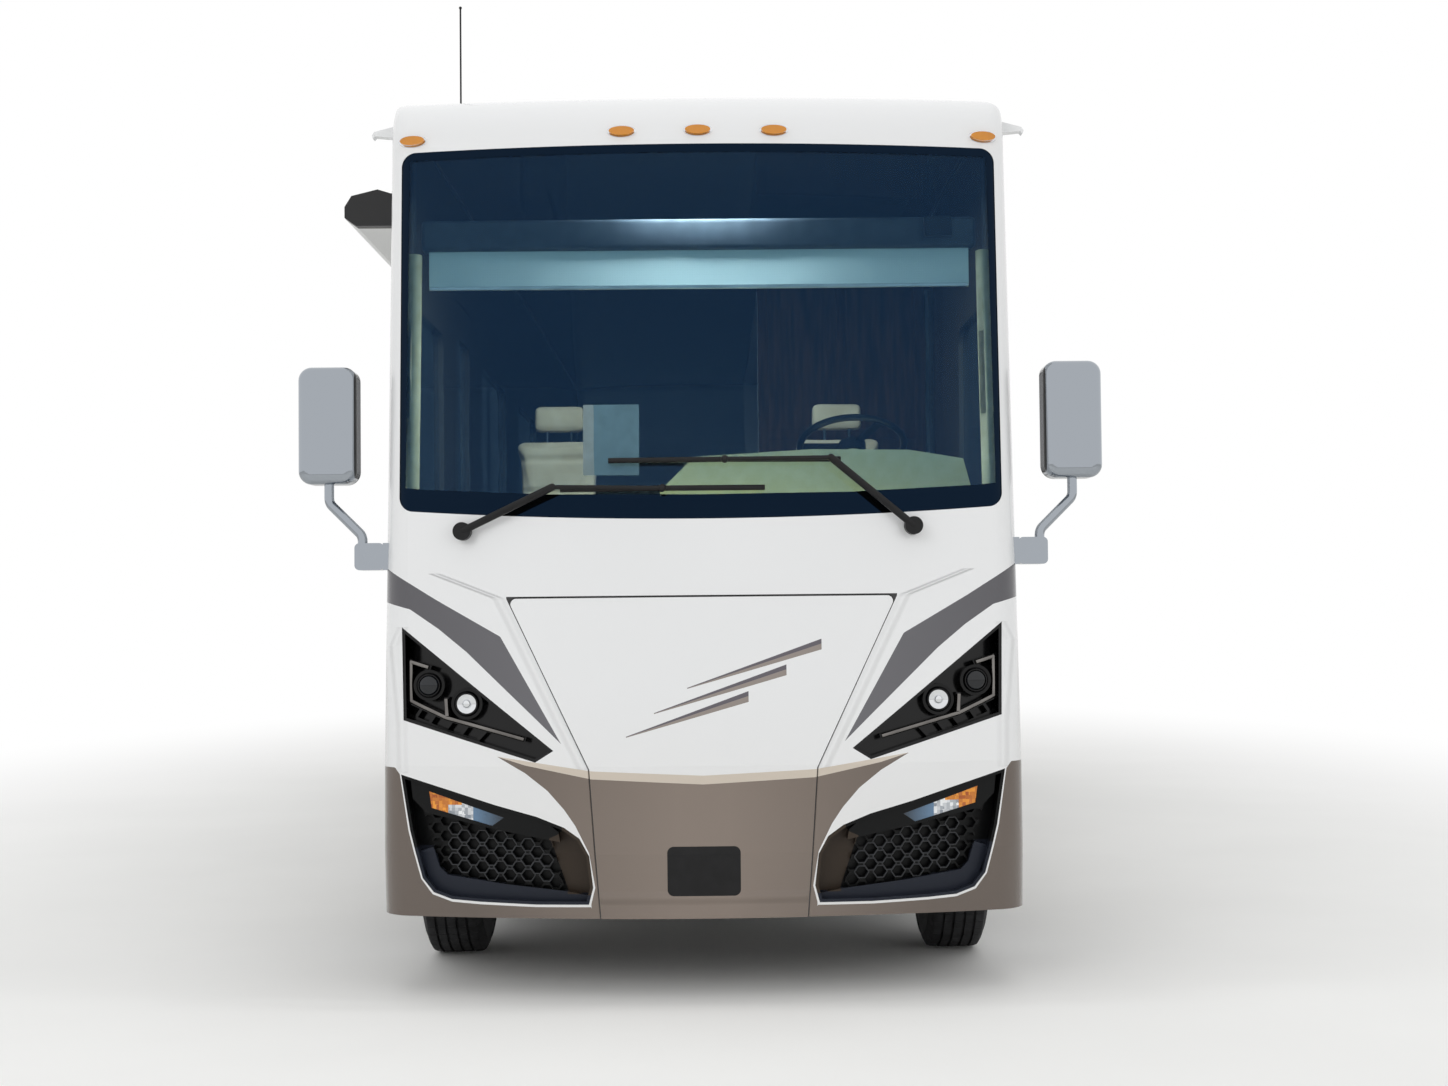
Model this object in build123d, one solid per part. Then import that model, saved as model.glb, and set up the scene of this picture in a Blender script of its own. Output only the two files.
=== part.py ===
from build123d import *
import os
from math import atan2, cos, pi, radians, sin

# Axes while building: x to the vehicle's left, y rearwards from its foremost point, z up
# from the floor. Every piece is saved with y counted from the middle of the whole length.

# Overall sizes, mm
body_width = 2565
body_length = 10900
roof_height = 3665
wall = 55
cap_wall = 45
roof_joint_z = 3480
roof_corner = 75
roof_crown = 25
skirt_z = 430
floor_top = 1320
floor_thickness = 110
seam = 6
half = body_width / 2
inner_half = half - wall
floor_under = floor_top - floor_thickness

# Front and rear caps
cap_depth = 820
cap_bottom = 307
rear_depth = 200
rear_start = body_length - rear_depth
wall_length = rear_start - cap_depth

# Axles and wheels
front_axle_y = 1150
wheelbase = 6147
rear_axle_y = front_axle_y + wheelbase
tyre_radius = 478
tyre_width = 255
bead_radius = 290
rim_width = 210
rim_flange = 15
wheel_x = 1085
dual_spacing = 325
arch_radius = 565
arch_z = 500
kingpin_x = 930
kingpin_radius = 25
eye_radius = 60
eye_height = 120
ear_height = 47
move_gap = 5
run_gap = 0.05
rest_gap = 0.3
front_spindle = 45
rear_spindle = 48
ear_radius = 55
yoke_thickness = 35
front_hub = 95
rear_hub = 110
disc = 12
hand_holes = 10
hand_hole_circle = 200
hand_hole_radius = 28

# Chassis rails
rail_x = 430
rail_flange = 80
rail_bottom = 760
rail_height = 240
rail_thickness = 8
rail_start = 260
rail_end = 10560
rail_top = rail_bottom + rail_height
bearing_y = 4300
crossmember_ys = (300, 1900, 3100, bearing_y, 6400, 8100, 9350, 10480)
floor_beam_ys = (400, 1790, 3250, 4700, 6150, 7300, 8450, 9600, 10450)
cross_width = 80
cross_inset = 40

# Springs: axle, half length, height of the eyes, height of the seat, thickness in the middle
springs = [
    (front_axle_y, 620, 680, tyre_radius + 50, 60),
    (rear_axle_y, 750, 700, tyre_radius + 75, 75),
]
spring_width = 70
spring_pin = 12
spring_eye = 28
leaf_end = 20
hanger_plate = 10
hanger_reach = 35

# Engine and drive line
engine_half = 290
engine_start = 470
engine_end = 1140
engine_low = 640
engine_high = 1190
engine_corner = 60
engine_mount = (740, 780, 60)
gearbox_radius = 150
gearbox_z = 740
gearbox_end = 1650
gearbox_flange = 15
shaft_radius = 45
joint_radius = 55
bearing_z = 690
bearing_radius = 60
bearing_wall = 15
pinion_reach = 330
pinion_radius = 80
axle_tube_radius = 75
axle_tube_end = 640
differential_radius = 190

# Exhaust and fuel tank
exhaust_x = 230
exhaust_z = 660
exhaust_start = 1500
tailpipe_y = 6700
tailpipe_z = 380
tailpipe_end = 1235
pipe_radius = 38
pipe_bend = 110
silencer_radius = 115
silencer_start = 3400
silencer_end = 4500
tank_half = 320
tank_start = 8070
tank_end = 9380
tank_low = 560
tank_corner = 50

# Hitch receiver, a 50.8 mm square socket with a 16 mm pin hole
receiver_bore = 50.8
receiver_wall = 6.35
receiver_z = 380
receiver_end = 10930
receiver_length = 330
hitch_pin_radius = 8.1
hitch_pin_setback = 63.5
hitch_bar = 80
hitch_ear = 20
hitch_ear_length = 150

# Doors and openings in the side walls: side (1 left, -1 right), start, end
hinge_radius = 8
hinge_leaf = 4
drip_rail = 12
door_low = 480
door_high = 1270
storage_doors = [
    ("storage_door_left_1", 1, 1950, 3500),
    ("storage_door_left_2", 1, 3560, 5030),
    ("storage_door_left_3", 1, 5090, 6560),
    ("storage_door_left_4", 1, 8050, 9850),
    ("storage_door_right_1", -1, 2850, 4650),
    ("storage_door_right_2", -1, 4710, 6560),
    ("storage_door_right_3", -1, 8050, 9850),
]
door_corner = 45
bin_wall = 20
bin_depth = 700
bin_floor = 500

entry_start = 2010
entry_end = 2720
entry_low = 890
entry_high = 3060
entry_corner = 80
entry_hinge = 5
entry_window_margin = 130
entry_window_low = 1950
entry_window_high = 2880
entry_window_corner = 60
step_depth = 560
step_wall = 20
step_rise = 215

# Slide-out room in the left wall
slide_start = 2900
slide_end = 6950
slide_low = floor_top
slide_high = 3230
slide_wall = 50
slide_inner_x = 300
slide_gap = 8
slide_flange = 45
flange_thickness = 25
slide_sill = 25
slide_runners = (3400, 4900, 6400)
runner_width = 80

# Windows: side, start, end, low, high, corner radius
windows = [
    (1, 890, 1640, 1960, 2820, 90),
    (-1, 890, 1640, 1960, 2820, 90),
    (-1, 3150, 4350, 2050, 2850, 70),
    (-1, 5150, 6450, 2050, 2850, 70),
    (-1, 8300, 9400, 2150, 2850, 70),
    (1, 8300, 9400, 2150, 2850, 70),
]
slide_windows = [(3350, 4450), (5350, 6500)]
slide_window_low = 2050
slide_window_high = 2850
slide_window_corner = 70
pane = 20
pane_setback = 12

# Front face and tail in plan. Sections: height, setback, bow, corner radius. Above the last
# section the face rolls back to the roof by the brow radius.
nose = {
    "sections": [(307, 35, 175, 150), (560, 0, 180, 150), (900, 8, 180, 150), (3400, 310, 150, 100)],
    "brow_radius": 300,
    "top_bow": 80,
    "top_corner": 70,
    "depth": cap_depth,
}
tail_bow = 50
tail = {
    "sections": [(skirt_z, 0, tail_bow, 130), (roof_height - 100, 0, tail_bow, 110)],
    "brow_radius": 100,
    "top_bow": 40,
    "top_corner": 50,
    "depth": rear_depth,
}
brow_steps = 5
brow_end = radians(86)

# Openings of the front face, half of each outline as x, z from the middle outwards
windshield_top = (1230, 3410)
windshield_low = (1220, 1917)
windshield_dip = 1868
windshield_corner = 60
glass_depth = 4
glass_thickness = 12
hood_half = [(772, 1557), (444, 888), (398, 250)]
hood_corner = 22
hood_skin = 8
hood_thickness = 45
hood_frame_inset = 45
landing = 18
hood_axis = (180, 1747)
hinge_arm = [(0, 0), (225, -130), (120, -262), (-60, -287)]
hinge_arm_x = 250
hinge_arm_width = 30
hinge_arm_thickness = 14
hinge_lug = 10
hinge_pin = 7
lamp_outline = [(1202, 1448), (1190, 1079), (657, 916), (585, 961)]
pod_outline = [(1198, 866), (988, 803), (819, 751), (653, 706), (544, 664), (484, 622),
               (446, 554), (432, 430), (450, 363), (658, 362), (880, 370), (993, 378),
               (1067, 404), (1111, 459), (1161, 649)]
recess = 70
backing = 15
tray_wall = 12
tray_rim = 3
fill_depth = 335
projectors = [(1090, 1216, 62), (935, 1143, 62)]
projector_length = 60
plate_width = 285
plate_low = 396
plate_high = 590
plate_corner = 25
plate_thickness = 12

# Amber lamps: x, z on the brow, with half sizes
brow_lamps = [(0, 3470), (312, 3468), (-312, 3468), (1184, 3459), (-1184, 3459)]
brow_lamp_size = (52, 20)
lamp_proud = 16
marker_y = 740
marker_z = 1210

# Front corners' turn lamps
turn_outline = [(1085, 800), (783, 700), (830, 668), (1075, 735)]
turn_inset = 15

# Headlamp bezel and slats: bars of one width along points in x, z
bezel_path = [(1084, 1284), (1172, 1312), (1169, 1151), (1018, 1085), (697, 1002)]
bezel_hook = [(1019, 1168), (1013, 1086)]
bezel_width = 18
bezel_inset = 24
slat_rail = [(1172, 1096), (1031, 1038), (894, 998), (858, 1036)]
slat_ribs = [((1151, 1082), (1122, 1125)), ((1094, 1060), (1063, 1105)), ((1026, 1036), (993, 1079)),
             ((962, 1018), (928, 1062))]
slat_width = 12
slat_inset = 42

# Corner grilles: staggered six-sided cells behind a deflector, over a sill
grille_outline = [(1118, 730), (1046, 502), (1014, 470), (790, 438), (545, 412), (600, 622)]
grille_inset = 48
cell_pitch = (73, 60)
cell_half = (25, 20)
cell_flat = 11
deflector_outline = [(1160, 840), (1152, 770), (1096, 716), (795, 650), (560, 606), (568, 645), (640, 706),
                     (819, 770)]
deflector_inset = 14
sill_outline = [(1130, 560), (1085, 440), (1040, 395), (880, 360), (450, 355), (440, 392), (545, 412),
                (790, 438), (1014, 470), (1046, 502), (1070, 580)]
sill_inset = 32

# Rain spouts at the front of the gutter, as a profile out from the wall
spout_profile = [(-40, 40), (0, 44), (92, 20), (103, 4), (98, -8), (88, 2), (0, -6), (-40, -6)]
spout_y = (625, 675)
spout_z = 3526

# Wipers: pivot, elbow, blade ends as x, z
wiper_arms = [
    ((-952, 1828), (-588, 1998), (-558, 1989), (254, 1989)),
    ((846, 1834), (518, 2106), (558, 2102), (-366, 2102)),
]
wiper_lift = 34
pivot_radius = 36
arm_radius = 15
blade_radius = 11

# Mirrors
mirror_in = 1415
mirror_out = 1656
mirror_low = 2036
mirror_high = 2520
mirror_y = 450
mirror_depth = 120
mirror_corner = 55
mirror_round = 40
mirror_arm_x = 1535
mirror_arm_z = 1960
mirror_arm_radius = 20
mirror_foot = (1385, 380)
mirror_base_y = (330, 430)
mirror_base_z = (1680, 1790)
mirror_base_end = 1410

# Awning cassette on the right wall
awning_start = 850
awning_end = 8750
awning_low = 3190
awning_profile = [(0, 0), (212, 0), (262, 36), (262, 84), (232, 132), (118, 160), (60, 142), (0, 142)]

# Roof units: place, half width, half length, height. Vents: place, x, half width, height
roof_units = [(3650, 350, 520, 295), (8100, 350, 520, 295)]
roof_vents = [(2450, 0, 230, 90), (5900, 300, 230, 90), (9600, -300, 230, 90)]
unit_taper = (45, 80)
unit_corners = (90, 60)
vent_corner = 40
antenna_x = -1080
antenna_y = 1200
antenna_top = 4255
antenna_radius = 4
antenna_foot = (22, 30)

# Ladder on the tail
ladder_x = (-1000, -620)
ladder_radius = 14
ladder_standoff = 95
ladder_low = 1000
ladder_top = 3560
rung_pitch = 300
bracket_zs = (1080, 2280, 3410)
bracket_radius = 10

# Tail lamps
tail_lamp_x = (1020, 1130)
tail_lamp_z = (1000, 1420)
tail_lamp_proud = 18
tail_lamp_corner = 40

# Cab: the pod's outline in x, z; the shelf in front of it
dash_pod = [(-200, floor_top), (-169, 1999), (-28, 2137), (459, 2164), (860, 2158), (1083, 2120),
            (1120, 1981), (1120, floor_top)]
dash_pod_y = (440, 740)
dash_shelf_end = 600
dash_shelf_z = (1775, 1900)
dash_half = 1185
wheel_rim_radius = 228
wheel_grip = 15
steering_centre = (661, 930, 2215)
steering_tilt = 28
hub_radius = 60
hub_thickness = 50
spoke = (34, 12)
column_radius = 45
column_length = 300
column_drop = 40
seat_y = 1530
seat_x = (661, -700)
seat_half = 260
seat_front = 280
seat_low = 1560
seat_high = 1760
seat_base_half = 190
seat_back_height = 830
seat_back_depth = 150
seat_recline = 10
seat_round = 55
shade_y = 470
shade_half = 1150
shade_cloth = 6
shade_low = 2837
shade_top = 3000
cassette_height = 140
cassette_y = (445, 530)

overall_length = body_length + ladder_standoff + ladder_radius


def block(x0, x1, y0, y1, z0, z1):
    return Pos((x0 + x1) / 2, (y0 + y1) / 2, (z0 + z1) / 2) * Box(x1 - x0, y1 - y0, z1 - z0)


def rod(start, end, radius):
    along = Vector(*end) - Vector(*start)
    return extrude(Plane(origin=start, z_dir=along) * Circle(radius), along.length)


def mirrored(shape):
    return mirror(shape, about=Plane.YZ)


def pair(shape):
    return [shape, mirrored(shape)]


def front_prism(points, corner=0):
    # a prism along y over an outline given as x, z
    face = make_face(Plane.XZ * Polyline(*points, close=True))
    if corner:
        face = fillet(face.vertices(), corner)
    return extrude(face, 1500, both=True)


def side_prism(x0, x1, y0, y1, z0, z1, corner):
    # a block across the wall with its four corners rounded along x
    shape = block(x0, x1, y0, y1, z0, z1)
    return fillet(shape.edges().filter_by(Axis.X), corner)


# Body envelope
def plan_section(z, setback, bow, corner, inset, back):
    side = half - inset
    tip = setback + inset
    lines = [
        Line((-side, back), (-side, tip + bow)),
        ThreePointArc((-side, tip + bow), (0, tip), (side, tip + bow)),
        Line((side, tip + bow), (side, back)),
        Line((side, back), (-side, back)),
    ]
    face = make_face(Curve() + lines)
    front = face.vertices().sort_by(Axis.Y)[:2]
    return Pos(0, 0, z) * fillet(front, max(corner - inset, 8))


def roof_prism(inset, start, length, low):
    side = half - inset
    top = roof_height - inset
    lines = [
        Line((-side, low), (side, low)),
        Line((side, low), (side, top - roof_crown)),
        ThreePointArc((side, top - roof_crown), (0, top), (-side, top - roof_crown)),
        Line((-side, top - roof_crown), (-side, low)),
    ]
    face = make_face(Curve() + lines)
    upper = [v for v in face.vertices() if v.Y > low + 1]
    face = fillet(upper, max(roof_corner - inset, 15))
    return Pos(0, start, 0) * extrude(Plane.XZ * face, -length)


def brow_sections(cap, inset):
    # the roll from the face's lean to level: the same centre for every inset
    (z0, y0, *_), (z1, y1, bow, corner) = cap["sections"][-2:]
    lean = atan2(y1 - y0, z1 - z0)
    radius = cap["brow_radius"]
    centre_y, centre_z = y1 + radius * cos(lean), z1 - radius * sin(lean)
    sections = [(z1, y1, bow, corner)]
    for step in range(1, brow_steps + 1):
        share = step / brow_steps
        turn = lean + (brow_end - lean) * share
        z = centre_z + (radius - inset) * sin(turn)
        setback = centre_y - (radius - inset) * cos(turn) - inset
        sections.append((z, setback, bow + (cap["top_bow"] - bow) * share,
                         corner + (cap["top_corner"] - corner) * share))
    return sections


def cap_solid(cap, inset, low, extra=0):
    depth = cap["depth"] + extra
    (_, *bottom), *rest = cap["sections"]
    face = [plan_section(z, *shape, inset, depth) for z, *shape in [(low, *bottom)] + rest]
    brow = [plan_section(z, *shape, inset, depth) for z, *shape in brow_sections(cap, inset)]
    solid = loft(face, ruled=True) + loft(brow)
    return solid & roof_prism(inset, -100, depth + 200, low - 10)


def shell_band(outer, inner):
    # a skin of the nose between two insets, as deep as the cap
    low = cap_bottom - 40
    return cap_solid(nose, outer, low) - cap_solid(nose, inner, low - 20, 20)


def at_height(z, column):
    rows = nose["sections"] + brow_sections(nose, 0)[1:]
    for low, high in zip(rows, rows[1:]):
        if z <= high[0]:
            return low[column] + (high[column] - low[column]) * (z - low[0]) / (high[0] - low[0])
    return rows[-1][column]


def face_y(x, z):
    return at_height(z, 1) + at_height(z, 2) * (x / half) ** 2


def windshield_prism():
    (top_x, top_z), (low_x, low_z) = windshield_top, windshield_low
    lines = [
        ThreePointArc((-low_x, low_z), (0, windshield_dip), (low_x, low_z)),
        Line((low_x, low_z), (top_x, top_z)),
        Line((top_x, top_z), (-top_x, top_z)),
        Line((-top_x, top_z), (-low_x, low_z)),
    ]
    face = make_face(Curve() + lines)
    face = fillet(face.vertices(), windshield_corner)
    return extrude(Plane.XZ * face, 1500, both=True)


def hood_prism(grow):
    (top_x, top_z), (waist_x, waist_z), (low_x, low_z) = hood_half
    right = [(top_x + grow, top_z + grow), (waist_x + grow, waist_z), (low_x + grow, low_z)]
    points = right + [(-x, z) for x, z in reversed(right)]
    face = make_face(Polyline(*points, close=True))
    top = [v for v in face.vertices() if v.Y > top_z + grow - 1]
    return extrude(Plane.XZ * fillet(top, max(hood_corner + grow, landing / 4)), 1500, both=True)


def make_front_cap():
    outer = cap_solid(nose, 0, cap_bottom)
    inner = cap_solid(nose, cap_wall, cap_bottom - 20, 50)
    shell = outer - inner - windshield_prism() - hood_prism(-landing)
    shell -= shell_band(-move_gap, hood_skin + rest_gap) & hood_prism(seam)
    for outline in (lamp_outline, pod_outline):
        opening = front_prism(outline)
        shell = shell - opening - mirrored(opening)
    spout = Pos(half, spout_z) * make_face(Polyline(*spout_profile, close=True))
    spout = Pos(0, spout_y[1], 0) * extrude(Plane.XZ * spout, spout_y[1] - spout_y[0])
    shell = shell - wheel_arches() + pair(spout - cap_solid(nose, 0, cap_bottom))
    for side in (1, -1):
        shell += hinge_bracket(side * hinge_arm_x)
    return shell


def hinge_bracket(x):
    # two lugs behind the skin with the pin that the hood's arm turns on
    y, z = hood_axis
    inner = hinge_arm_thickness / 2 + move_gap
    start = face_y(x, z) + cap_wall / 2
    bracket = rod((x - inner - hinge_lug, y, z), (x + inner + hinge_lug, y, z), hinge_pin)
    for low in (x - inner - hinge_lug, x + inner):
        bracket += block(low, low + hinge_lug, start, y + 2 * hinge_pin, z - 3 * hinge_pin, z + 2 * hinge_pin)
    return bracket


def hood_arm(x):
    # the bent arm from the hood's inner frame to the pin, clear of the opening's upper edge
    y, z = hood_axis
    knuckle = Circle(hinge_arm_width / 2)
    outline = knuckle
    for (y0, z0), (y1, z1) in zip(hinge_arm, hinge_arm[1:]):
        length = ((y1 - y0) ** 2 + (z1 - z0) ** 2) ** 0.5
        bar = Rectangle(length, hinge_arm_width)
        turn = atan2(z1 - z0, y1 - y0) * 180 / pi
        outline += Pos((y0 + y1) / 2, (z0 + z1) / 2) * Rot(0, 0, turn) * bar
        outline += Pos(y1, z1) * knuckle
    outline -= Circle(hinge_pin + run_gap)
    return Pos(x, y, z) * extrude(Plane.YZ * outline, hinge_arm_thickness / 2, both=True)


def make_windshield():
    glass = cap_solid(nose, glass_depth, cap_bottom) & windshield_prism()
    return glass - cap_solid(nose, glass_depth + glass_thickness, cap_bottom - 20, 20)


def make_hood():
    skin = shell_band(0, hood_skin) & hood_prism(0)
    frame = shell_band(hood_skin, hood_thickness) & hood_prism(-hood_frame_inset)
    hood = (skin + frame) & block(-half, half, -100, cap_depth - 200, cap_bottom, roof_height)
    for side in (1, -1):
        hood += hood_arm(side * hinge_arm_x)
    return hood - make_tow_plate()


def make_tow_plate():
    side = plate_width / 2
    points = [(-side, plate_low), (side, plate_low), (side, plate_high), (-side, plate_high)]
    return shell_band(0, plate_thickness) & front_prism(points, plate_corner)


def wheel_arches():
    arches = []
    for y in (front_axle_y, rear_axle_y):
        for side in (1, -1):
            arches.append(Pos(side * half, y, arch_z) * Rot(0, 90, 0) * Cylinder(arch_radius, 3 * wall))
            arches.append(Pos(side * half, y, arch_z / 2) * Box(3 * wall, 2 * arch_radius, arch_z))
    return arches


# Side walls
def make_wall(side):
    x0, x1 = sorted((side * inner_half, side * half))
    panel = block(x0, x1, cap_depth, rear_start, skirt_z, roof_joint_z)
    cut_x = (x0 - 10, x1 + 10)
    for arch in wheel_arches():
        panel -= arch
    rail_x0, rail_x1 = sorted((side * (half - 1), side * (half + 2 * hinge_radius + 2)))
    for _, door_side, start, end in storage_doors:
        if door_side == side:
            panel -= side_prism(*cut_x, start, end, door_low, door_high, door_corner)
            panel += block(rail_x0, rail_x1, start, end, door_high + rest_gap, door_high + drip_rail)
    for window_side, start, end, low, high, corner in windows:
        if window_side == side:
            panel -= side_prism(*cut_x, start, end, low, high, corner)
    if side == 1:
        panel -= block(*cut_x, slide_start, slide_end, slide_low, slide_high)
    else:
        panel -= side_prism(*cut_x, entry_start, entry_end, entry_low, entry_high, entry_corner)
        guard_end = entry_start + entry_hinge - hinge_radius - rest_gap
        panel += block(-half - 2 * hinge_radius, -half + 1, guard_end - drip_rail, guard_end,
                       entry_low + entry_corner, entry_high - entry_corner)
    return panel


def make_side_windows():
    panes = []
    for side, start, end, low, high, corner in windows:
        x0, x1 = sorted((side * (half - pane_setback), side * (half - pane_setback - pane)))
        panes.append(side_prism(x0, x1, start, end, low, high, corner))
    return panes


def make_storage_door(side, start, end):
    y0, y1 = start + seam, end - seam
    door = side_prism(inner_half, half, y0, y1, door_low + seam, door_high - seam, door_corner - seam)
    hinge_x, hinge_z = half + hinge_radius + rest_gap, door_high - hinge_radius
    y0, y1 = start + door_corner, end - door_corner
    door += block(half, half + hinge_leaf, y0, y1, hinge_z - 4 * hinge_radius, hinge_z)
    door += rod((hinge_x, y0, hinge_z), (hinge_x, y1, hinge_z), hinge_radius)
    return door if side == 1 else mirrored(door)


def make_entry_door():
    x0, x1 = -half, -inner_half
    leaf = side_prism(x0, x1, entry_start + seam, entry_end - seam, entry_low + seam, entry_high - seam,
                      entry_corner - seam)
    hinge_x, hinge_y = x0 - hinge_radius - rest_gap, entry_start + entry_hinge
    low, high = entry_low + entry_corner, entry_high - entry_corner
    leaf += block(x0 - hinge_leaf, x0, hinge_y, hinge_y + 4 * hinge_radius, low, high)
    leaf += rod((hinge_x, hinge_y, low), (hinge_x, hinge_y, high), hinge_radius)
    return leaf - entry_window(x0 - 5, x1 + 5)


def entry_window(x0, x1):
    y0, y1 = entry_start + entry_window_margin, entry_end - entry_window_margin
    return side_prism(x0, x1, y0, y1, entry_window_low, entry_window_high, entry_window_corner)


def make_storage_bins():
    bins = []
    for _, side, start, end in storage_doors:
        x0, x1 = inner_half - bin_depth, inner_half - move_gap
        shell = block(x0, x1, start, end, bin_floor - bin_wall, floor_under)
        shell -= block(x0 + bin_wall, x1 + bin_wall, start + bin_wall, end - bin_wall, bin_floor,
                       floor_under - bin_wall)
        bins.append(shell if side == 1 else mirrored(shell))
    return bins


# Slide-out room
def make_slide_out():
    x1 = half
    low, high = slide_low + slide_gap, slide_high - slide_gap
    start, end = slide_start + slide_gap, slide_end - slide_gap
    room = block(slide_inner_x, x1, start, end, low, high)
    room -= block(slide_inner_x - 10, x1 - slide_wall, start + slide_wall, end - slide_wall,
                  low + slide_wall, high - slide_wall)
    face_x = half + move_gap
    flange = block(face_x, face_x + flange_thickness, slide_start - slide_flange, slide_end + slide_flange,
                   slide_low - slide_sill, slide_high + slide_flange)
    room += flange + block(x1 - 1, face_x + 1, start, end, low, high)
    for y in slide_runners:
        room += block(slide_inner_x, x1 - slide_wall, y - runner_width / 2, y + runner_width / 2,
                      floor_top + rest_gap, low + 1)
    for y0, y1 in slide_windows:
        room -= slide_window(x1 - slide_wall - 10, face_x + flange_thickness + 10, y0, y1)
    return room


def slide_window(x0, x1, y0, y1):
    return side_prism(x0, x1, y0, y1, slide_window_low, slide_window_high, slide_window_corner)


def make_slide_windows():
    return [slide_window(half - pane, half, y0, y1) for y0, y1 in slide_windows]


def make_roof():
    outer = roof_prism(0, cap_depth, wall_length, roof_joint_z)
    inner = roof_prism(wall, cap_depth - 10, wall_length + 20, roof_joint_z - 20)
    return outer - inner


def tail_solid(inset=0, extra=0):
    return Pos(0, body_length, 0) * mirror(cap_solid(tail, inset, skirt_z - extra, extra), about=Plane.XZ)


def make_rear_cap():
    return tail_solid() - tail_solid(cap_wall, 20)


def make_floor():
    slab = block(-inner_half, inner_half, cap_depth, rear_start, floor_under, floor_top)
    front = block(-inner_half, inner_half, 250, cap_depth, floor_under, floor_top)
    front &= cap_solid(nose, recess + backing + move_gap, cap_bottom)
    well_x0, well_x1 = -inner_half, -inner_half + step_depth
    well = block(well_x0, well_x1, entry_start, entry_end, entry_low - step_wall, floor_top)
    space = block(well_x0 - 10, well_x1 - step_wall, entry_start + step_wall, entry_end - step_wall,
                  entry_low, floor_top + 10)
    tread = block(well_x0 + step_depth / 2, well_x1, entry_start, entry_end, entry_low - step_wall,
                  entry_low + step_rise)
    floor = (slab + front - space) + (well - space) + tread
    beam_half = rail_x + cross_inset
    for y in floor_beam_ys:
        floor += block(-beam_half, beam_half, y - cross_width / 2, y + cross_width / 2, rail_top, floor_under)
    return floor


# Chassis
def make_frame_rails():
    rail = block(rail_x - rail_thickness, rail_x, rail_start, rail_end, rail_bottom, rail_top)
    for z in (rail_bottom, rail_top - rail_thickness):
        rail += block(rail_x - rail_flange, rail_x, rail_start, rail_end, z, z + rail_thickness)
    return pair(rail)


def make_spring_hangers():
    hangers = []
    inner = spring_width / 2 + rest_gap
    for axle_y, reach, eye_z, *_ in springs:
        hanger = rod((-inner - hanger_plate, 0, eye_z), (inner + hanger_plate, 0, eye_z), spring_pin)
        for x in (-inner - hanger_plate, inner):
            hanger += block(x, x + hanger_plate, -hanger_reach, hanger_reach, eye_z - hanger_reach, rail_bottom)
        for y in (axle_y - reach, axle_y + reach):
            hangers += pair(Pos(rail_x - rail_flange / 2, y, 0) * hanger)
    return hangers


def make_crossmembers():
    reach = rail_x - rail_thickness
    members = [block(-reach, reach, y - cross_width / 2, y + cross_width / 2,
                     rail_bottom + cross_inset, rail_top - cross_inset) for y in crossmember_ys]
    side = bearing_radius + bearing_wall
    carrier = block(-side, side, bearing_y - bearing_radius / 2, bearing_y + bearing_radius / 2,
                    bearing_z - side, rail_bottom + cross_inset + 1)
    carrier -= rod((0, bearing_y - side, bearing_z), (0, bearing_y + side, bearing_z), bearing_radius + rest_gap)
    at_bearing = crossmember_ys.index(bearing_y)
    members[at_bearing] += carrier
    return members


def make_hitch_receiver():
    outer = receiver_bore + 2 * receiver_wall
    start = receiver_end - receiver_length
    tube = block(-outer / 2, outer / 2, start, receiver_end, receiver_z - outer / 2, receiver_z + outer / 2)
    bar = block(-rail_x, rail_x, start - hitch_bar, start, receiver_z - hitch_bar / 2, receiver_z + hitch_bar / 2)
    ear = block(rail_x - hitch_ear, rail_x, start - hitch_ear_length, start, receiver_z - hitch_bar / 2,
                rail_bottom)
    hitch = tube + bar + ear + mirrored(ear)
    hitch -= block(-receiver_bore / 2, receiver_bore / 2, start + hitch_bar / 2, receiver_end + 10,
                   receiver_z - receiver_bore / 2, receiver_z + receiver_bore / 2)
    pin = (outer, receiver_end - hitch_pin_setback, receiver_z)
    return hitch - rod((-outer, *pin[1:]), pin, hitch_pin_radius)


def make_engine():
    motor = block(-engine_half, engine_half, engine_start, engine_end, engine_low, engine_high)
    motor = fillet(motor.edges().filter_by(Axis.Y), engine_corner)
    gearbox = rod((0, engine_end, gearbox_z), (0, gearbox_end, gearbox_z), gearbox_radius)
    flange = rod((0, gearbox_end, gearbox_z), (0, gearbox_end + gearbox_flange, gearbox_z), joint_radius)
    mount_y, mount_z, mount_size = engine_mount
    reach = rail_x - rail_thickness - rest_gap
    mounts = block(-reach, reach, mount_y, mount_y + mount_size, mount_z, mount_z + mount_size)
    return motor + gearbox + flange + mounts


def make_drive_shaft():
    front_end = (0, gearbox_end + gearbox_flange + joint_radius + rest_gap, gearbox_z)
    rear_end = (0, rear_axle_y - pinion_reach - joint_radius - rest_gap, tyre_radius)
    middle = (0, bearing_y, bearing_z)
    shaft = rod(front_end, middle, shaft_radius) + rod(middle, rear_end, shaft_radius)
    sleeve = bearing_radius * 3 / 4
    shaft += rod((0, bearing_y - sleeve, bearing_z), (0, bearing_y + sleeve, bearing_z), bearing_radius)
    for end in (front_end, rear_end):
        shaft += Pos(*end) * Sphere(joint_radius)
    return shaft


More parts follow.
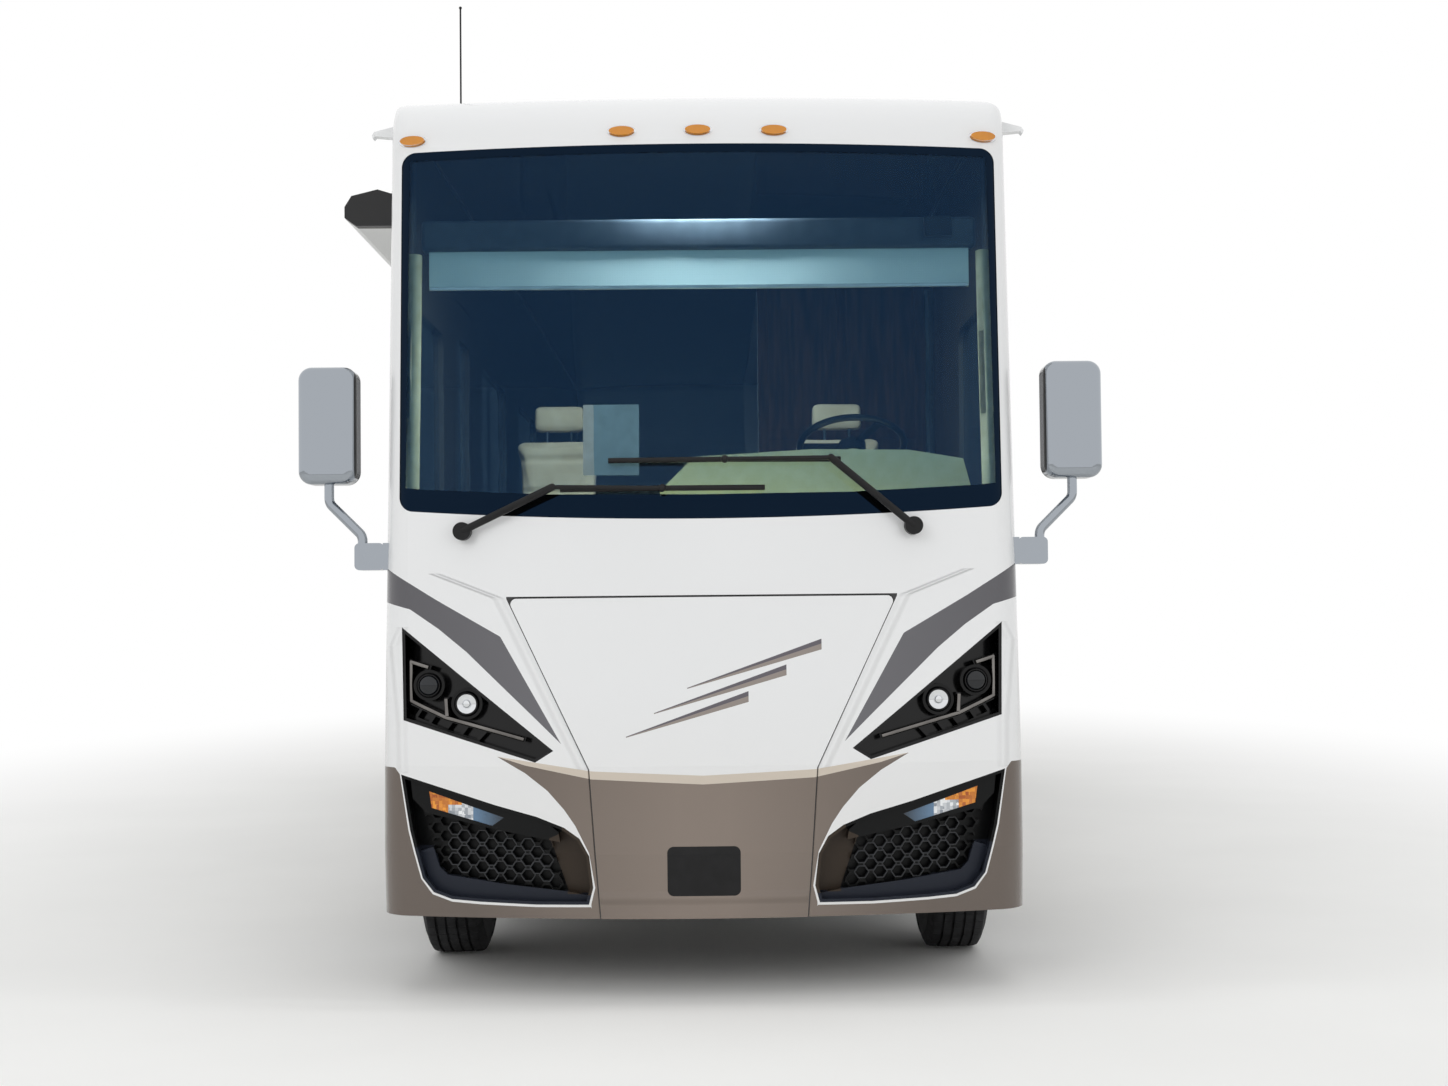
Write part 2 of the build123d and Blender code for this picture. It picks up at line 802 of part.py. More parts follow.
def make_leaf_spring(axle_y, reach, eye_z, seat_z, thickness):
    high, low = eye_z + leaf_end / 2, eye_z - leaf_end / 2
    top = ThreePointArc((-reach, high), (0, seat_z + thickness), (reach, high))
    under = ThreePointArc((-reach, low), (0, seat_z), (reach, low))
    ends = [Line((-reach, low), (-reach, high)), Line((reach, high), (reach, low))]
    face = make_face(Curve() + [top, under] + ends)
    wide = spring_width / 2
    leaf = extrude(Plane.YZ * face, wide, both=True)
    for end in (-reach, reach):
        leaf += rod((-wide, end, eye_z), (wide, end, eye_z), spring_eye)
        leaf -= rod((-wide - 1, end, eye_z), (wide + 1, end, eye_z), spring_pin + run_gap)
    return Pos(rail_x - rail_flange / 2, axle_y, 0) * leaf


def make_front_axle():
    z = tyre_radius
    beam = block(-kingpin_x, kingpin_x, front_axle_y - 45, front_axle_y + 45, z - 50, z + 50)
    for side in (1, -1):
        beam += Pos(side * kingpin_x, front_axle_y, z) * Cylinder(eye_radius, eye_height)
        beam -= Pos(side * kingpin_x, front_axle_y, z) * Cylinder(kingpin_radius + run_gap, 2 * eye_height)
    return beam


def make_knuckle():
    z = tyre_radius
    gap = eye_height / 2 + move_gap
    pin = Pos(kingpin_x, front_axle_y, z) * Cylinder(kingpin_radius, 2 * (gap + ear_height))
    yoke_x = kingpin_x + eye_radius + move_gap
    yoke = block(yoke_x, yoke_x + yoke_thickness, front_axle_y - ear_radius - 5, front_axle_y + ear_radius + 5,
                 z - gap - ear_height, z + gap + ear_height)
    for low in (z + gap, z - gap - ear_height):
        pin += Pos(kingpin_x, front_axle_y, low + ear_height / 2) * Cylinder(ear_radius, ear_height)
        pin += block(kingpin_x, yoke_x + 10, front_axle_y - ear_radius + 5, front_axle_y + ear_radius - 5, low,
                     low + ear_height)
    spindle = rod((yoke_x + yoke_thickness / 2, front_axle_y, z), (wheel_x + front_hub, front_axle_y, z),
                  front_spindle)
    return pin + yoke + spindle


def make_rear_axle():
    z = tyre_radius
    tube = rod((-axle_tube_end, rear_axle_y, z), (axle_tube_end, rear_axle_y, z), axle_tube_radius)
    spindle = rod((10 - wheel_x, rear_axle_y, z), (wheel_x - 10, rear_axle_y, z), rear_spindle)
    pinion = rod((0, rear_axle_y - pinion_reach, z), (0, rear_axle_y, z), pinion_radius)
    return tube + spindle + pinion + Pos(0, rear_axle_y, z) * Sphere(differential_radius)


def lathe(points, x, y):
    # a turned piece about the wheel's axis, from lateral position and radius
    face = make_face(Polyline(*points, close=True))
    return Pos(x, y, tyre_radius) * revolve(face, Axis.X)


def make_tyre(x, y):
    side = tyre_width / 2
    bead = rim_width / 2 - rest_gap
    bead_top = bead_radius + rim_flange + 2
    shoulder = (side - 20, tyre_radius - 12)
    belly = (bead_radius + tyre_radius) / 2
    lines = [
        Line((-bead, bead_radius), (bead, bead_radius)),
        Line((bead, bead_radius), (bead, bead_top)),
        ThreePointArc((bead, bead_top), (side, belly), shoulder),
        ThreePointArc(shoulder, (0, tyre_radius), (-shoulder[0], shoulder[1])),
        ThreePointArc((-shoulder[0], shoulder[1]), (-side, belly), (-bead, bead_top)),
        Line((-bead, bead_top), (-bead, bead_radius)),
    ]
    return Pos(x, y, tyre_radius) * revolve(make_face(Curve() + lines), Axis.X)


def rim_barrel(x, y):
    edge = rim_width / 2
    outer = bead_radius - rest_gap
    points = [(-edge, outer), (edge, outer), (edge, outer + rim_flange), (edge + 8, outer + rim_flange),
              (edge + 8, outer - 8), (-edge - 8, outer - 8), (-edge - 8, outer + rim_flange),
              (-edge, outer + rim_flange)]
    return lathe(points, x, y)


def rim_disc(x0, x1, y):
    plate = rod((x0, y, tyre_radius), (x1, y, tyre_radius), bead_radius - rest_gap - 4)
    for index in range(hand_holes):
        angle = 2 * pi * index / hand_holes
        hole = (y + hand_hole_circle * cos(angle), tyre_radius + hand_hole_circle * sin(angle))
        plate -= rod((x0 - 1, *hole), (x1 + 1, *hole), hand_hole_radius)
    return plate


def make_front_rim():
    y, z = front_axle_y, tyre_radius
    rim = rim_barrel(wheel_x, y) + rim_disc(wheel_x + 60, wheel_x + 60 + disc, y)
    rim += rod((wheel_x - 50, y, z), (wheel_x + 125, y, z), front_hub)
    return rim - rod((wheel_x - 60, y, z), (wheel_x + 100, y, z), front_spindle + run_gap)


def make_rear_rims():
    y, z = rear_axle_y, tyre_radius
    inner_x = wheel_x - dual_spacing
    middle = (wheel_x + inner_x) / 2
    rims = rim_barrel(wheel_x, y) + rim_barrel(inner_x, y)
    rims += rod((inner_x + rim_width / 2 + 8 - 20, y, z), (middle - disc, y, z), bead_radius - rest_gap - 4)
    rims += rod((middle, y, z), (wheel_x - rim_width / 2 + 12, y, z), bead_radius - rest_gap - 4)
    rims += rim_disc(middle - disc, middle + disc, y)
    rims += rod((axle_tube_end + 10, y, z), (wheel_x + 30, y, z), rear_hub)
    return rims - rod((axle_tube_end, y, z), (wheel_x, y, z), rear_spindle + run_gap)


def make_exhaust():
    start = (exhaust_x, exhaust_start, exhaust_z)
    path = FilletPolyline(start, (exhaust_x, tailpipe_y, exhaust_z), (exhaust_x, tailpipe_y, tailpipe_z),
                          (tailpipe_end, tailpipe_y, tailpipe_z), radius=pipe_bend)
    tube = sweep(Plane(origin=start, z_dir=(0, 1, 0)) * Circle(pipe_radius), path)
    silencer = rod((exhaust_x, silencer_start, exhaust_z), (exhaust_x, silencer_end, exhaust_z), silencer_radius)
    hanger = block(exhaust_x - 30, exhaust_x + 30, bearing_y - 25, bearing_y + 25, exhaust_z,
                   rail_bottom + cross_inset - rest_gap)
    return tube + silencer + hanger


def make_fuel_tank():
    tank = block(-tank_half, tank_half, tank_start, tank_end, tank_low, rail_bottom + cross_inset - rest_gap)
    return fillet(tank.edges().filter_by(Axis.Y), tank_corner)


# Front details
def cap_fill(outline, outer, inner):
    return shell_band(outer, inner) & front_prism(outline) & block(0, half, -50, fill_depth, 0, 2000)


def tray(outline):
    # an open box behind an opening, its rim flush with the face
    face = make_face(Polyline(*outline, close=True))
    hollow = extrude(Plane.XZ * offset(face, -tray_wall), 1500, both=True)
    rim = cap_fill(outline, tray_rim, recess + backing)
    return rim - (hollow - cap_solid(nose, recess, cap_bottom - 20, 20))


def raised(face, inset):
    # what stands up from the floor of a tray to an inset below the nose's face
    return extrude(Plane.XZ * face, 1500, both=True) & shell_band(inset, recess + 1) & block(
        0, half, -50, fill_depth, 0, 2000)


def make_headlamps():
    lamp = tray(lamp_outline)
    bezel = trace(Polyline(*bezel_path), line_width=bezel_width)
    bezel += trace(Polyline(*bezel_hook), line_width=bezel_width)
    slats = trace(Polyline(*slat_rail), line_width=slat_width)
    for rib in slat_ribs:
        slats += trace(Polyline(*rib), line_width=slat_width)
    lamp += raised(bezel, bezel_inset) + raised(slats, slat_inset)
    for x, z, radius in projectors:
        start = face_y(x, z) + tray_wall + backing
        lens = rod((x, start, z), (x, start + recess + projector_length, z), radius)
        lamp += lens - cap_solid(nose, recess + backing - 2, cap_bottom)
    return pair(lamp)


def honeycomb():
    # the grille's face less its cells, in rows that stagger by half a pitch
    face = make_face(Polyline(*grille_outline, close=True))
    wide, tall = cell_half
    cell = make_face(Polyline((-wide, 0), (-cell_flat, tall), (cell_flat, tall), (wide, 0), (cell_flat, -tall),
                              (-cell_flat, -tall), close=True))
    across, down = cell_pitch
    low, high = face.bounding_box().min, face.bounding_box().max
    for row in range(int((high.Y - low.Y) / down * 2) + 1):
        start = low.X + (across / 2 if row % 2 else 0)
        spots = [Pos(start + column * across, low.Y + row * down / 2)
                 for column in range(int((high.X - start) / across) + 1)]
        face -= [spot * cell for spot in spots]
    return face


def make_corner_grilles():
    pod = tray(pod_outline) + raised(honeycomb(), grille_inset)
    inside = make_face(Polyline(*pod_outline, close=True))
    for outline, inset in ((deflector_outline, deflector_inset), (sill_outline, sill_inset)):
        pod += raised(make_face(Polyline(*outline, close=True)) & inside, inset)
    return pair(pod - cap_fill(turn_outline, 0, recess + backing))


def make_turn_lamps():
    return pair(cap_fill(turn_outline, turn_inset, recess + backing))


def make_brow_lamps():
    lamps = []
    wide, tall = brow_lamp_size
    band = shell_band(-lamp_proud, 0)
    for x, z in brow_lamps:
        oval = extrude(Plane.XZ * Pos(x, z) * Ellipse(wide, tall), 900, both=True)
        lamps.append(band & oval)
    for side in (1, -1):
        x0, x1 = sorted((side * half, side * (half + 18)))
        lamps.append(block(x0, x1, marker_y - 50, marker_y + 50, marker_z - 22, marker_z + 22))
    return lamps


def on_face(x, z, lift):
    return (x, face_y(x, z) - lift, z)


def make_wipers():
    wipers = []
    for pivot, elbow, tip, end in wiper_arms:
        base = rod(on_face(*pivot, 60), on_face(*pivot, -20), pivot_radius)
        base -= cap_solid(nose, 0, cap_bottom)
        middle = ((tip[0] + end[0]) / 2, (tip[1] + end[1]) / 2)
        arm = rod(on_face(*pivot, 48), on_face(*elbow, wiper_lift + 20), arm_radius)
        arm += Pos(*on_face(*elbow, wiper_lift + 20)) * Sphere(arm_radius)
        arm += rod(on_face(*elbow, wiper_lift + 20), on_face(*middle, wiper_lift + 12), 9)
        arm += Pos(*on_face(*middle, wiper_lift + 12)) * Sphere(16)
        for spot in (tip, end):
            arm += rod(on_face(*middle, wiper_lift), on_face(*spot, wiper_lift - 8), blade_radius)
        arm += Pos(*on_face(*middle, wiper_lift)) * Sphere(blade_radius)
        wipers.append(base + arm)
    return wipers


def make_mirror():
    head = block(mirror_in, mirror_out, mirror_y - mirror_depth / 2, mirror_y + mirror_depth / 2,
                 mirror_low, mirror_high)
    head = fillet(head.edges().filter_by(Axis.Y), mirror_corner)
    head = fillet(head.edges().group_by(Axis.Y)[0], mirror_round)
    start = (mirror_arm_x, mirror_y, mirror_low + mirror_arm_radius)
    base_top = mirror_base_z[1]
    path = FilletPolyline(start, (mirror_arm_x, mirror_y, mirror_arm_z), (*mirror_foot, base_top + 30),
                          (*mirror_foot, base_top - 30), radius=45)
    arm = sweep(Plane(origin=start, z_dir=(0, 0, -1)) * Circle(mirror_arm_radius), path)
    base = block(half + 8, mirror_base_end, *mirror_base_y, *mirror_base_z)
    base = fillet(base.edges().filter_by(Axis.Y), mirror_arm_radius)
    foot = block(half - 40, half + 12, *mirror_base_y, *mirror_base_z) - cap_solid(nose, 0, cap_bottom)
    return head + arm + base + foot


def make_awning():
    face = Pos(half, awning_low) * make_face(Polyline(*awning_profile, close=True))
    return mirrored(Pos(0, awning_end, 0) * extrude(Plane.XZ * face, awning_end - awning_start))


def make_roof_units():
    cover = roof_prism(0, 0, body_length, roof_joint_z)
    units = []
    for y, wide, long, height in roof_units:
        low = Pos(0, y, roof_height - wall) * Rectangle(2 * wide, 2 * long)
        high = Pos(0, y, roof_height + height) * Rectangle(2 * (wide - unit_taper[0]), 2 * (long - unit_taper[1]))
        low, high = (fillet(face.vertices(), corner) for face, corner in zip((low, high), unit_corners))
        units.append(loft([low, high]) - cover)
    for y, x, size, height in roof_vents:
        lid = block(x - size, x + size, y - size, y + size, roof_height - wall, roof_height + height)
        units.append(fillet(lid.edges().filter_by(Axis.Z), vent_corner) - cover)
    return units


def make_antenna():
    cover = roof_prism(0, 0, body_length, roof_joint_z)
    place = (antenna_x, antenna_y)
    radius, height = antenna_foot
    foot = rod((*place, roof_height - wall), (*place, roof_height + height), radius)
    whip = rod((*place, roof_height), (*place, antenna_top), antenna_radius)
    return (foot - cover) + whip


def make_ladder():
    y = body_length + ladder_standoff
    ladder = []
    for x in ladder_x:
        ladder.append(rod((x, y, ladder_low), (x, y, ladder_top), ladder_radius))
        ladder += [rod((x, body_length - 60, z), (x, y, z), bracket_radius) for z in bracket_zs]
    rungs = int((ladder_top - ladder_low) / rung_pitch)
    for rung in range(rungs):
        z = ladder_low + (rung + 0.5) * rung_pitch
        ladder.append(rod((ladder_x[0], y, z), (ladder_x[1], y, z), ladder_radius - 2))
    return ladder[0].fuse(*ladder[1:]) - tail_solid()


def make_tail_lamps():
    lamp = block(*tail_lamp_x, body_length - tail_bow - cap_wall, body_length + tail_lamp_proud, *tail_lamp_z)
    return pair(fillet(lamp.edges().filter_by(Axis.Y), tail_lamp_corner) - tail_solid())


# Cab
def make_dashboard():
    pod = front_prism(dash_pod) & block(-half, half, *dash_pod_y, floor_top, roof_height)
    shelf = block(-dash_half, dash_half, 0, dash_shelf_end, *dash_shelf_z)
    column = steering_plane() * Pos(0, 0, -column_drop - rest_gap - column_length / 2) * Cylinder(
        column_radius, column_length)
    inside = cap_solid(nose, recess + backing + move_gap, cap_bottom)
    layer = inside & block(-half, half, 0, overall_length, *dash_shelf_z)
    return (pod & inside) + (shelf & layer) + column


def steering_plane():
    return Plane(origin=steering_centre, z_dir=(0, sin(radians(steering_tilt)), cos(radians(steering_tilt))))


def make_steering_wheel():
    plane = steering_plane()
    wheel = plane * Torus(wheel_rim_radius, wheel_grip)
    wheel += plane * Pos(0, 0, hub_thickness / 2 - column_drop) * Cylinder(hub_radius, hub_thickness)
    for turn in (90, 210, 330):
        wheel += plane * Rot(0, 0, turn) * Pos(wheel_rim_radius / 2, 0, 0) * Box(wheel_rim_radius, *spoke)
    return wheel


def make_seat(x):
    front, back = seat_y - seat_front, seat_y + seat_half
    base = block(x - seat_base_half, x + seat_base_half, seat_y - seat_base_half, seat_y + seat_base_half,
                 floor_top, seat_low)
    cushion = block(x - seat_half, x + seat_half, front, back, seat_low, seat_high)
    rest = block(x - seat_half + 5, x + seat_half - 5, 0, seat_back_depth, 0, seat_back_height)
    cushion, rest = (fillet(shape.edges(), seat_round) for shape in (cushion, rest))
    rest = Pos(0, back - seat_round, seat_high - seat_round) * Rot(-seat_recline, 0, 0) * rest
    return base + cushion + rest


def make_shade():
    cloth = block(-shade_half, shade_half, shade_y, shade_y + shade_cloth, shade_low, shade_top)
    reach = half - cap_wall - rest_gap
    cassette = block(-reach, reach, *cassette_y, shade_top, shade_top + cassette_height)
    return cloth + (cassette & cap_solid(nose, cap_wall + rest_gap, cap_bottom))


pieces = {
    "front_cap": make_front_cap,
    "hood": make_hood,
    "tow_plate": make_tow_plate,
    "windshield": make_windshield,
    "headlamps": make_headlamps,
    "corner_grilles": make_corner_grilles,
    "turn_lamps": make_turn_lamps,
    "amber_lamps": make_brow_lamps,
    "wipers": make_wipers,
    "mirrors": lambda: pair(make_mirror()),
    "wall_left": lambda: make_wall(1),
    "wall_right": lambda: make_wall(-1),
    "roof": make_roof,
    "rear_cap": make_rear_cap,
    "side_windows": make_side_windows,
    "entry_door": make_entry_door,
    "entry_window": lambda: entry_window(-half + pane_setback, -half + pane_setback + pane),
    "slide_out": make_slide_out,
    "slide_windows": make_slide_windows,
    "awning": make_awning,
    "roof_units": make_roof_units,
    "antenna": make_antenna,
    "ladder": make_ladder,
    "tail_lamps": make_tail_lamps,
    "floor": make_floor,
    "storage_bins": make_storage_bins,
    "dashboard": make_dashboard,
    "steering_wheel": make_steering_wheel,
    "front_seats": lambda: [make_seat(x) for x in seat_x],
    "front_shade": make_shade,
    "frame_rails": make_frame_rails,
    "spring_hangers": make_spring_hangers,
    "crossmembers": make_crossmembers,
    "hitch_receiver": make_hitch_receiver,
    "engine": make_engine,
    "drive_shaft": make_drive_shaft,
    "exhaust": make_exhaust,
    "fuel_tank": make_fuel_tank,
    "leaf_springs": lambda: [leaf for spring in springs for leaf in pair(make_leaf_spring(*spring))],
    "front_axle": make_front_axle,
    "rear_axle": make_rear_axle,
    "steer_knuckle_left": make_knuckle,
    "steer_knuckle_right": lambda: mirrored(make_knuckle()),
    "front_rim_left": make_front_rim,
    "front_rim_right": lambda: mirrored(make_front_rim()),
    "front_tyre_left": lambda: make_tyre(wheel_x, front_axle_y),
    "front_tyre_right": lambda: make_tyre(-wheel_x, front_axle_y),
    "rear_rims_left": make_rear_rims,
    "rear_rims_right": lambda: mirrored(make_rear_rims()),
    "rear_tyres_left": lambda: [make_tyre(wheel_x, rear_axle_y), make_tyre(wheel_x - dual_spacing, rear_axle_y)],
    "rear_tyres_right": lambda: [make_tyre(-wheel_x, rear_axle_y), make_tyre(dual_spacing - wheel_x, rear_axle_y)],
}
for name, side, start, end in storage_doors:
    pieces[name] = lambda side=side, start=start, end=end: make_storage_door(side, start, end)

os.makedirs("parts", exist_ok=True)
for name, make in pieces.items():
    made = make()
    shapes = made if isinstance(made, list) else [made]
    solids = [solid for shape in shapes for solid in shape.solids()]
    whole = Pos(0, -overall_length / 2, 0) * Compound(solids)
    export_step(whole, f"parts/{name}.step")
    print(name, len(solids), round(whole.volume / 1e6, 1))
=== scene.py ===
import bpy
import bmesh
from math import cos, pi, radians, sin
from mathutils import Matrix, Vector


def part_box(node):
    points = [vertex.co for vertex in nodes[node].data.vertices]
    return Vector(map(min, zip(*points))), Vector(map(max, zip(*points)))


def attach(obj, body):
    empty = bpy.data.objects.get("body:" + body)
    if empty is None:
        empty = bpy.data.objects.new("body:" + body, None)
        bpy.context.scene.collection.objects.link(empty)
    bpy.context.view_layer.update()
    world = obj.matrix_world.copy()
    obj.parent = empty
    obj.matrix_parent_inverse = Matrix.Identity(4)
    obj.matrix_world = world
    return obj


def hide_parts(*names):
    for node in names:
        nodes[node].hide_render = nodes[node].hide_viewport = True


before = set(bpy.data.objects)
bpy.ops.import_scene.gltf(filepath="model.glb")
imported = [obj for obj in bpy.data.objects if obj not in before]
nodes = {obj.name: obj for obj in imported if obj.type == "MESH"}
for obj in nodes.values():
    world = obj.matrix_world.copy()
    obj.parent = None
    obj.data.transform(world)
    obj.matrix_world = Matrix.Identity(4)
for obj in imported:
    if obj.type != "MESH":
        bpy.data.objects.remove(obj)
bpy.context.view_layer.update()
scene = bpy.context.scene
print("frame loaded,", len(nodes), "nodes")

# The drawing counts its lengths from the nose; the frame's y starts in the middle.
noseY = -5.5045
halfWidth = 1.2825


def linear(hexColour):
    # sRGB hex to the linear values that Blender's sockets take
    parts = [int(hexColour[i:i + 2], 16) / 255 for i in (1, 3, 5)]
    return (*[c / 12.92 if c <= 0.04045 else ((c + 0.055) / 1.055) ** 2.4 for c in parts], 1.0)


def addNode(tree, kind, inputs=None, out=0, **settings):
    # adds a node with its settings and links, and gives the output that the next node needs
    node = tree.nodes.new("ShaderNode" + kind)
    for key, value in settings.items():
        setattr(node, key, value)
    for key, value in (inputs or {}).items():
        if isinstance(value, bpy.types.NodeSocket):
            tree.links.new(value, node.inputs[key])
        else:
            node.inputs[key].default_value = value
    return node.outputs[out]


def newMaterial(name, **shader):
    made = bpy.data.materials.new(name)
    made.use_nodes = True
    tree = made.node_tree
    surface = tree.nodes["Principled BSDF"]
    for key, value in shader.items():
        surface.inputs[key.replace("_", " ")].default_value = value
    return made, tree, surface, addNode(tree, "TexCoord", out="Object")


def maths(tree, operation, *values):
    return addNode(tree, "Math", dict(enumerate(values)), operation=operation)


def axes(tree, place):
    # x, y and z of a place, and how far it lies from the middle
    x, y, z = addNode(tree, "SeparateXYZ", {0: place}).node.outputs
    return x, y, z, maths(tree, "ABSOLUTE", x)


def addBump(tree, surface, height, distance, **before):
    found = addNode(tree, "Bump", {"Height": height, "Distance": distance, **before})
    tree.links.new(found, surface.inputs["Normal"])


def noise(tree, place, scale, detail):
    return addNode(tree, "TexNoise", {"Vector": place, "Scale": scale, "Detail": detail})


def ramp(tree, value, start, end, low=0.0, high=1.0, kind="LINEAR"):
    # low up to the start and high from the end on
    ends = {"From Min": start, "From Max": end, "To Min": low, "To Max": high}
    return addNode(tree, "MapRange", {"Value": value, **ends}, interpolation_type=kind)


def addGrain(tree, surface, place, size, height, rough, spread=0.06, detail=3.0, stretch=(1, 1, 1)):
    # one noise drives a fine bump and a slight change of roughness; size and height in metres
    turned = addNode(tree, "Mapping", {"Vector": place, "Scale": stretch})
    wave = noise(tree, turned, 1 / size, detail)
    addBump(tree, surface, wave, height)
    worn = ramp(tree, wave, 0.0, 1.0, rough - spread, rough + spread)
    tree.links.new(worn, surface.inputs["Roughness"])


def paintOver(tree, colour, layers):
    # hard-edged coats laid one over the other; a colour is a hex value or another socket
    for mask, layer in layers:
        colour, layer = (linear(c) if isinstance(c, str) else c for c in (colour, layer))
        colour = addNode(tree, "Mix", {0: mask, 6: colour, 7: layer}, out=2, data_type="RGBA")
    return colour


def coat(tree, surface, colour, layers=()):
    colour = paintOver(tree, colour, layers)
    tree.links.new(colour, surface.inputs["Base Color"])
    return colour


def addShades(tree, surface, place, dark, light, size):
    # two shades of one colour in soft patches
    patch = noise(tree, place, 1 / size, 4.0)
    return coat(tree, surface, dark, [(ramp(tree, patch, 0.35, 0.65), light)])


def boundary(tree, points, along, alongSpan, span):
    # straight runs between points: reads a place along, gives the limit there, both in metres
    found = addNode(tree, "FloatCurve", {"Value": maths(tree, "DIVIDE", along, alongSpan)})
    mapping = found.node.mapping
    line = mapping.curves[0].points
    while len(line) < len(points):
        line.new(0.5, 0.5)
    for spot, (where, limit) in zip(line, sorted(points)):
        spot.location = (where / alongSpan, limit / span)
        spot.handle_type = "VECTOR"
    mapping.update()
    return maths(tree, "MULTIPLY", found, span)


def inside(tree, *tests):
    # a mask that is 1 only where every test holds
    joined = None
    for value, side, limit in tests:
        found = maths(tree, {"<": "LESS_THAN", ">": "GREATER_THAN"}[side], value, limit)
        joined = found if joined is None else maths(tree, "MULTIPLY", joined, found)
    return joined


# Sprayed and clear-coated gelcoat. Edges are runs of points in metres: from the middle outwards and
# height, but for tanMiddle, hoodSide and two of the creases height and half width. They span these.
spans = {"out": 1.3, "high": 2.0, "back": 11.0, "sideHigh": 3.0}
paint = {
    "white": "#e9eaeb", "film": "#d2cfc8", "grey": "#5f5e63", "greyOuter": "#4b4a4f",
    "tan": "#82756b", "tanOuter": "#62574f", "strip": "#cdc2b4",
    "greyTop": [(0.0, 0.988), (0.555, 0.988), (0.799, 1.408), (1.063, 1.557), (1.3, 1.70)],
    "greyLow": [(0.0, 0.988), (0.555, 0.988), (0.654, 1.083), (0.935, 1.348), (1.05, 1.44), (1.169, 1.519),
                (1.3, 1.555)],
    "stripTop": [(0.0, 0.863), (0.436, 0.882), (0.809, 0.939), (1.3, 0.939)],
    "stripLow": [(0.0, 0.829), (0.436, 0.851), (0.697, 0.905), (0.809, 0.939), (1.3, 0.94)],
    "podLow": [(0.0, 0.30), (0.425, 0.30), (0.44, 0.353), (0.658, 0.352), (0.88, 0.36), (0.993, 0.368),
               (1.072, 0.396), (1.117, 0.456), (1.167, 0.645), (1.203, 0.866), (1.225, 0.893), (1.3, 0.893)],
    "tanMiddle": [(0.0, 0.405), (0.353, 0.44), (0.363, 0.441), (0.43, 0.424), (0.565, 0.446), (0.671, 0.5),
                  (0.733, 0.543), (0.807, 0.609), (0.875, 0.697), (0.939, 0.809), (2.0, 0.809)],
    # the lining's dark colour is partly the vinyl's own and partly painted shade inside the cabin
    "lining": "#4a4743", "liningOut": 1.272, "liningHigh": (1.3, 3.64), "liningBack": (0.5, 10.589),
    "seal": "#131315", "sealTop": 1.565,
    "hoodSide": [(0.0, 0.395), (0.25, 0.402), (0.888, 0.448), (1.557, 0.776), (2.0, 0.776)],
    "crease": [(0.889, 0.467), (0.903, 0.475), (1.559, 0.806), (1.661, 1.07)],
    "cornerCrease": [(0.875, 1.191), (1.058, 1.197), (1.377, 1.236), (1.447, 1.199)],
    "footCrease": [(-0.01, 0.389), (0.405, 0.389)],
    "creaseWide": 0.03, "creaseDeep": 0.009, "stripFoot": 0.8, "stripWide": 0.03, "landing": 0.5,
    # along the sides: metres back from the nose and height
    "sideGreyTop": [(0.0, 1.689), (0.62, 1.689), (2.2, 1.70), (4.0, 1.66), (10.2, 2.25), (11.0, 2.3)],
    "sideGreyLow": [(0.0, 1.55), (0.62, 1.55), (2.2, 1.60), (4.0, 1.60), (10.2, 1.95), (11.0, 2.0)],
    "sideTan": [(0.0, 0.895), (5.0, 0.86), (8.0, 0.98), (11.0, 1.22)],
}
# Three plain slanted bars of unlike length on the nose panel: left end, height at the middle, right end
bars = {"runs": [(-0.30, 1.095, 0.18), (-0.19, 1.155, 0.33), (-0.06, 1.215, 0.47)], "wide": 0.042,
        "back": 0.4, "tip": 0.004, "core": 0.55, "slope": 0.28, "dark": "#57525a", "light": "#8d837c"}


